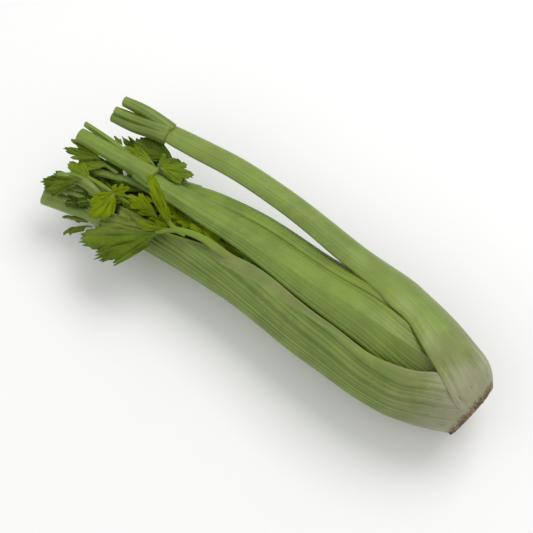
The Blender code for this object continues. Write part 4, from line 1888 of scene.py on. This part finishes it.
LEAVES = (
    LeafSpray(
        "fan_leaf",
        "leaf_large",
        (
            (
                (-14, 24, 34, 4), (-23, 28.6, 33.5, 6.2), (-32, 31, 31, 6.4), (-42, 32.5, 28, 5.4),
                (-51, 33.5, 28, 4.8), (-64, 36.5, 32, 4), (-76, 42, 43, 3),
            ),
        ),
        (
            # Painted light on its upper half and painted shade on its lower half.
            Blade(
                (-71, 41, 40), (-131, 53, 86), -14, 35, Outline(0.5, 5, 0.12, 5, 0.02), young=0.25, saw=0.1,
                painted_side_light=0.3, rib=0.65, pale=0.5,
            ),
        ),
    ),
    LeafSpray(
        "upright_leaf",
        "leaf_upright",
        (((-58, 34, 32, 3.6), (-66, 37, 32, 3.4), (-72, 39.5, 28, 2.6)),),
        (
            Blade(
                (-69, 38, 33.5), (-100.5, 50, 0), 40, 19, Outline(0.5, 3, 0.1, 5, 0.06, 0.06), young=0.75,
                saw=0.08,
            ),
        ),
        young=True,
    ),
    LeafSpray(
        "side_leaf",
        "leaf_side",
        (((-58, 34.4, 33, 3), (-66, 37, 34, 2.6), (-72, 38.5, 37, 2)),),
        (
            Blade((-69, 38, 35), (-94, 41, 44), 8, 24, Outline(0.6, 3, 0.2, 3, 0.05, 0.1), young=0.8),
            Blade((-68, 37, 31), (-88, 37, 34), 14, 26, Outline(0.6, 3, 0.2, 3, 0.05, 0.1), young=0.5),
        ),
        young=True,
    ),
    LeafSpray(
        "bright_leaf",
        "leaf_bright",
        (((-99, 19, 38, 2.4), (-109, 26, 36, 2.2), (-121, 34, 31, 1.8)),),
        (
            Blade(
                (-119, 34, 29), (-126, 47, 61), -12, 46, Outline(0.52, 5, 0.08, 4, 0.03, 0.14), young=1.35,
                saw=0.085, rib=0.5,
            ),
        ),
        young=True,
    ),
    LeafSpray(
        "tuft_leaf",
        "leaf_tuft",
        (((-96, 20, 24, 2), (-106, 25.5, 26, 1.8), (-121, 33, 31, 1.6)),),
        (
            Blade(
                (-121, 34, 33), (-111, 35.5, 16), 10, 34, Outline(sinus=0.24, teeth=3, pleat=0.035),
                young=0.7,
            ),
            Blade(
                (-121, 34, 33), (-121, 36, 20), -14, 34, Outline(sinus=0.24, teeth=3, pleat=0.035),
                young=0.6,
            ),
            Blade((-92, 24, 28), (-113, 27, 27), 0, 34, TUFT, young=0.8),
            Blade((-86, 24, 34), (-107, 27, 31), -10, 30, TUFT, young=0.6),
            Blade((-95, 22, 15), (-106, 23, 22), 10, 36, TUFT, young=1.2),
            Blade((-90, 22, 38), (-116, 24, 42), 10, 30, TUFT, young=0.5),
        ),
        young=True,
    ),
    LeafSpray(
        "upper_tip_leaf",
        "leaf_tip_upper",
        (
            ((-130, 21.8, 0, 2.4), (-142, 22.5, -2, 2.2), (-152, 23.5, -3, 1.8)),
            ((-122, 31, 33, 2.4), (-134, 30, 31, 2.8), (-146, 27.5, 32, 2.4)),
        ),
        (
            Blade((-146, 25, -3), (-174, 27, 12), 10, 26, Outline(sinus=0.26)),
            Blade((-148, 25.5, -6), (-175, 27, -8), -12, 22, Outline(sinus=0.3, teeth=3)),
            Blade((-144, 26, 34), (-165, 27, 28), -10, 40, Outline(side=0.75, sinus=0.2), young=0.9),
            Blade((-140, 23, 2), (-160, 24, 16), 0, 34, Outline(sinus=0.26), young=0.3),
        ),
    ),
    LeafSpray(
        "lower_tip_leaf",
        "leaf_tip_lower",
        (((-126, 14, 40, 2), (-138, 15, 30, 1.8), (-148, 15, 20, 1.6)),),
        (
            Blade((-146, 34, 36), (-178, 34.5, 68), 4, 24, Outline(0.7, 3, 0.22, 5, 0.05, 0.05)),
            Blade((-150, 35, 48), (-175, 36, 70), -20, 26, Outline(0.7, 3, 0.22, 5, 0.05, 0.05)),
            # These leaflets lie in shade: below 0 they are darkened as painted shade.
            Blade((-138, 16, -20), (-158, 15, 30), 0, 46, young=-0.6),
            Blade((-122, 22, 50), (-158, 23, 62), 0, 40, SHADED, young=-0.8),
            Blade((-128, 24, 76), (-164, 25, 72), 0, 36, SHADED, young=-0.8),
            Blade((-112, 20, 40), (-140, 22, 58), 0, 40, SHADED, young=-0.5),
        ),
    ),
    LeafSpray(
        "dark_inner_leaf",
        "leaf_dark_inside",
        (((-84, 10, 20, 2.4), (-92, 10, 16, 2.2), (-102, 10, 12, 2)),),
        (
            # These leaflets lie in shade: below 0 they are darkened as painted shade.
            Blade((-98, 12, 6), (-134, 13, 24), 0, 40, young=-0.8),
            Blade((-90, 14, 28), (-122, 16, 50), -10, 40, young=-0.8),
            Blade((-104, 16, -4), (-134, 17, 8), 10, 32, young=-0.8),
            Blade((-128, 14, -14), (-150, 16, -18), 10, 44, young=-0.8),
            Blade((-138, 15, 14), (-162, 16, 12), 0, 44, young=-0.8),
            Blade((-126, 12, 30), (-152, 14, 40), 0, 44, young=-0.8),
        ),
        young=True,
    ),
    LeafSpray(
        "dark_behind_leaf",
        "leaf_behind_dark",
        (((-84, 26, -60, 2.4), (-96, 31.5, -60, 2.2), (-111, 37.4, -59, 2)),),
        (
            # These leaflets lie in shade: below 0 they are darkened as painted shade.
            Blade(
                (-105, 38, -62), (-134, 37, -47), 8, 44, Outline(0.8, 3, 0.16, 4, 0.04, 0.1), young=-0.45,
            ),
            Blade((-108, 31, -64), (-138, 30, -78), 30, 36, young=-0.8),
        ),
    ),
    LeafSpray(
        "pale_behind_leaf",
        "leaf_behind_light",
        (((-72, 26, -46, 2.4), (-88, 28, -40, 2.2), (-105, 33, -30, 2)),),
        (
            Blade(
                (-105, 33.5, -28), (-80, 36, -45), -14, 36, Outline(0.7, 3, 0.2, 4, 0.035, 0.14), young=0.5,
            ),
            Blade(
                (-104, 34, -32), (-97, 39.5, -64), -10, 36, Outline(side=0.7, sinus=0.2, pleat=0.035),
                young=0.25,
            ),
            Blade(
                (-106, 34, -30), (-104, 38, -62), 14, 30, Outline(side=0.7, sinus=0.2, pleat=0.035),
                young=0.1,
            ),
            Blade(
                (-108, 33, -31), (-138, 33, -36), 10, 20, Outline(side=0.7, sinus=0.2, teeth=5), young=0.9,
            ),
            Blade(
                (-140, 31, -42), (-150, 32.5, -49), 10, 24, Outline(side=0.5, sinus=0.2, teeth=3),
                young=0.4,
            ),
        ),
    ),
    LeafSpray(
        "small_behind_leaf",
        "leaf_behind_small",
        (((-98, 25, -70, 2), (-112, 26, -70, 1.8), (-122, 26.5, -70, 1.6)),),
        (
            Blade((-118, 26.5, -70), (-143, 28, -70), 12, 32, Outline(teeth=3)),
            Blade((-104, 27, -80), (-124, 31, -92), 50, 36, Outline(teeth=3)),
        ),
        young=True,
    ),
    LeafSpray(
        "near_heart_leaf",
        "leaf_heart_near",
        (((4, 19.4, 20, 2), (-8, 20.4, 20, 1.8), (-30, 20.4, 18, 1.6)),),
        (
            Blade((-28, 21, 22), (-42, 22.5, 24), 14, 36, HEARTLET, young=0.6),
            Blade((-34, 21, 26), (-52, 24.5, 14), -16, 34, HEARTLET, young=0.7),
            Blade((-46, 22, 28), (-62, 25, 18), 10, 40, Outline(0.7, 3, 0.2, 4, 0.04, 0.14), young=0.8),
            Blade((-44, 20, 14), (-58, 22, 26), -20, 34, HEARTLET, young=0.3),
            Blade((-16, 19, 24), (-32, 21, 22), -20, 30, HEARTLET, young=0.4),
        ),
        young=True,
    ),
    LeafSpray(
        "far_heart_leaf",
        "leaf_heart_far",
        (((-46, 20.6, 26, 2), (-54, 21.4, 26, 1.8), (-72, 20.2, 18, 1.6)),),
        (
            Blade((-66, 20, 16), (-82, 21, 8), 12, 38, HEARTLET, young=0.3),
            Blade((-60, 20, 26), (-78, 22, 32), -14, 36, HEARTLET, young=1.0),
            Blade((-70, 18.5, 6), (-90, 19, -8), 10, 36, HEARTLET, young=0.4),
            Blade((-72, 20, 22), (-90, 20, 12), -20, 34, HEARTLET, young=0.6),
            Blade((-58, 21, 14), (-72, 23, 26), 10, 36, HEARTLET, young=0.8),
            Blade((-62, 16, 4), (-80, 16, -10), 10, 36, HEARTLET, young=0.2),
        ),
        young=True,
    ),
    LeafSpray(
        "low_tip_leaf",
        "leaf_under_tip",
        (((-120, 34, 106, 2), (-128, 33.5, 107, 1.8), (-139, 33, 109, 1.6)),),
        (
            Blade((-136, 33, 106), (-158, 41, 108), 70, 40, Outline(sinus=0.2, pleat=0.06, droop=0.16)),
            Blade((-134, 36, 112), (-154, 52, 115), 60, 14, Outline(0.6, 3, 0.1, 3, 0.02, 0.3)),
        ),
    ),
    LeafSpray(
        "back_leaf",
        "leaf_back",
        (((-100, 35.5, -104, 2.4), (-112, 36.5, -104, 2.2), (-122, 37.5, -104, 2)),),
        (
            Blade((-118, 37.5, -104), (-158, 40, -100), -95, 40, Outline(lobes=5, sinus=0.2, teeth=3)),
            Blade((-108, 36.5, -104), (-126, 42, -122), -110, 34),
        ),
    ),
    LeafSpray(
        "low_back_leaf",
        "leaf_back_low",
        (((-112, 14, -150, 2.2), (-124, 13, -160, 2), (-134, 13, -165, 1.8)),),
        (
            Blade((-130, 13, -165), (-168, 14, -178), 180, 34),
            Blade((-118, 16, -140), (-150, 20, -130), -140, 34),
        ),
    ),
)

OUTER_FINISH = StalkFinish(
    "outer_skin",
    Slot.OUTER,
    top=(0.165, 0.235, 0.036),
    middle=(0.170, 0.240, 0.040),
    base=(0.200, 0.234, 0.072),
    butt=(0.28, 0.283, 0.175),
)
INNER_FINISH = StalkFinish(
    "inner_skin",
    Slot.INNER,
    top=(0.165, 0.245, 0.031),
    middle=(0.160, 0.228, 0.030),
    base=(0.185, 0.225, 0.058),
    butt=(0.26, 0.268, 0.15),
)
HEART_FINISH = StalkFinish(
    "heart_skin",
    Slot.HEART,
    top=(0.18, 0.27, 0.036),
    middle=(0.22, 0.29, 0.06),
    base=(0.27, 0.31, 0.11),
    butt=(0.31, 0.32, 0.2),
)
GREEN_LEAF = LeafFinish(
    "green_leaf",
    Slot.LEAF,
    blade=(0.110, 0.172, 0.008),
    shade=(0.085, 0.140, 0.006),
    vein=(0.20, 0.26, 0.045),
    stem=(0.165, 0.235, 0.035),
)
YOUNG_LEAF = LeafFinish(
    "young_leaf",
    Slot.YOUNG,
    blade=(0.115, 0.170, 0.001),
    shade=(0.085, 0.132, 0.001),
    vein=(0.19, 0.25, 0.01),
    stem=(0.165, 0.24, 0.03),
)


# ---------------------------------------------------------------------------------------------- studio


@dataclass(frozen=True)
class Softbox:
    """One soft square light: where it stands, what it is aimed at, how wide and how strong it is."""

    name: str
    place: tuple[float, float, float]
    target: tuple[float, float, float]
    width: float
    watts: float

    def build(self) -> None:
        """Adds the light."""
        lamp = bpy.data.lights.new(self.name, "AREA")
        lamp.shape = "SQUARE"
        lamp.size = self.width
        lamp.energy = self.watts
        made = bpy.data.objects.new(self.name, lamp)
        made.location = self.place
        made.rotation_euler = (Vector(self.target) - Vector(self.place)).to_track_quat("-Z", "Y").to_euler()
        bpy.context.scene.collection.objects.link(made)


@dataclass(frozen=True)
class Studio:
    """The camera, the pale floor and the soft light."""

    azimuth: float = 31.823
    elevation: float = 65.0
    distance: float = 0.9008
    aim: tuple[float, float, float] = (-0.00162, 0.00178, 0.03964)
    lens: float = 85.0
    film_width: float = 36.0
    nearest: float = 0.01
    floor: float = 8.0
    floor_z: float = -0.0004
    paper: tuple[Colour, Colour] = ((0.84, 0.84, 0.835), (0.87, 0.87, 0.865))
    paper_roughness: float = 0.9
    paper_gloss: float = 0.1
    ambient: float = 0.67
    lights: tuple[Softbox, ...] = (
        Softbox("key", (0.15, 0.75, 1.35), (0.0, 0.0, 0.03), 0.9, 12.0),
        Softbox("fill", (-0.5, -0.9, 1.1), (0.0, 0.0, 0.03), 1.2, 4.0),
    )

    def camera(self) -> None:
        """Adds the camera and makes it the scene's."""
        turn, lift = math.radians(self.azimuth), math.radians(self.elevation)
        back = Vector((math.sin(turn) * math.cos(lift), -math.cos(turn) * math.cos(lift), math.sin(lift)))
        lens = bpy.data.cameras.new("camera")
        lens.lens = self.lens
        lens.sensor_width = self.film_width
        lens.clip_start = self.nearest
        made = bpy.data.objects.new("camera", lens)
        made.location = Vector(self.aim) + back * self.distance
        made.rotation_euler = back.to_track_quat("Z", "Y").to_euler()
        bpy.context.scene.collection.objects.link(made)
        bpy.context.scene.camera = made

    def ground(self) -> None:
        """Adds the floor."""
        deselect()
        bpy.ops.mesh.primitive_plane_add(size=self.floor, location=(0.0, 0.0, self.floor_z))
        floor = bpy.context.object
        floor.name = "floor"
        surface, graph = Palette.blank("pale_paper")
        shader = surface.node_tree.nodes["Principled BSDF"]
        graph.fill(shader.inputs["Base Color"], graph.blend(graph.noise(graph.place(), 6.0), *self.paper))
        shader.inputs["Roughness"].default_value = self.paper_roughness
        shader.inputs["Specular IOR Level"].default_value = self.paper_gloss
        dress(floor, surface)

    def air(self) -> None:
        """Sets the soft light from all round."""
        world = bpy.data.worlds.new("air")
        bpy.context.scene.world = world
        world.use_nodes = True
        sky = world.node_tree.nodes["Background"]
        sky.inputs["Color"].default_value = (1.0, 1.0, 1.0, 1.0)
        sky.inputs["Strength"].default_value = self.ambient
        bpy.context.scene.view_settings.view_transform = "Standard"

    def build(self) -> None:
        """Builds the whole studio."""
        self.camera()
        self.ground()
        self.air()
        for light in self.lights:
            light.build()


def dress(piece: bpy.types.Object, surface: bpy.types.Material) -> None:
    """Gives a piece its one material."""
    piece.data.materials.clear()
    piece.data.materials.append(surface)


def main() -> None:
    """Builds the studio and every piece of the head, in order."""
    logging.basicConfig(level=logging.INFO, format="%(message)s")
    Studio().build()
    palette = Palette()
    crown = Crown()
    plate = crown.build()
    cut = CutFinish()
    dress(plate, cut.material(palette))
    finish_piece(plate, crown.node)
    for group, finish in ((OUTER, OUTER_FINISH), (INNER, INNER_FINISH), (HEART, HEART_FINISH)):
        skin = finish.material(palette)
        for stalk in group:
            piece = stalk.build()
            dress(piece, skin)
            finish_piece(piece, stalk.node)
    surfaces = {finish: finish.material(palette) for finish in (GREEN_LEAF, YOUNG_LEAF)}
    for leaf in LEAVES:
        finish = YOUNG_LEAF if leaf.young else GREEN_LEAF
        piece = leaf.build()
        dress(piece, surfaces[finish])
        finish_piece(piece, leaf.node)


if __name__ == "__main__":
    main()
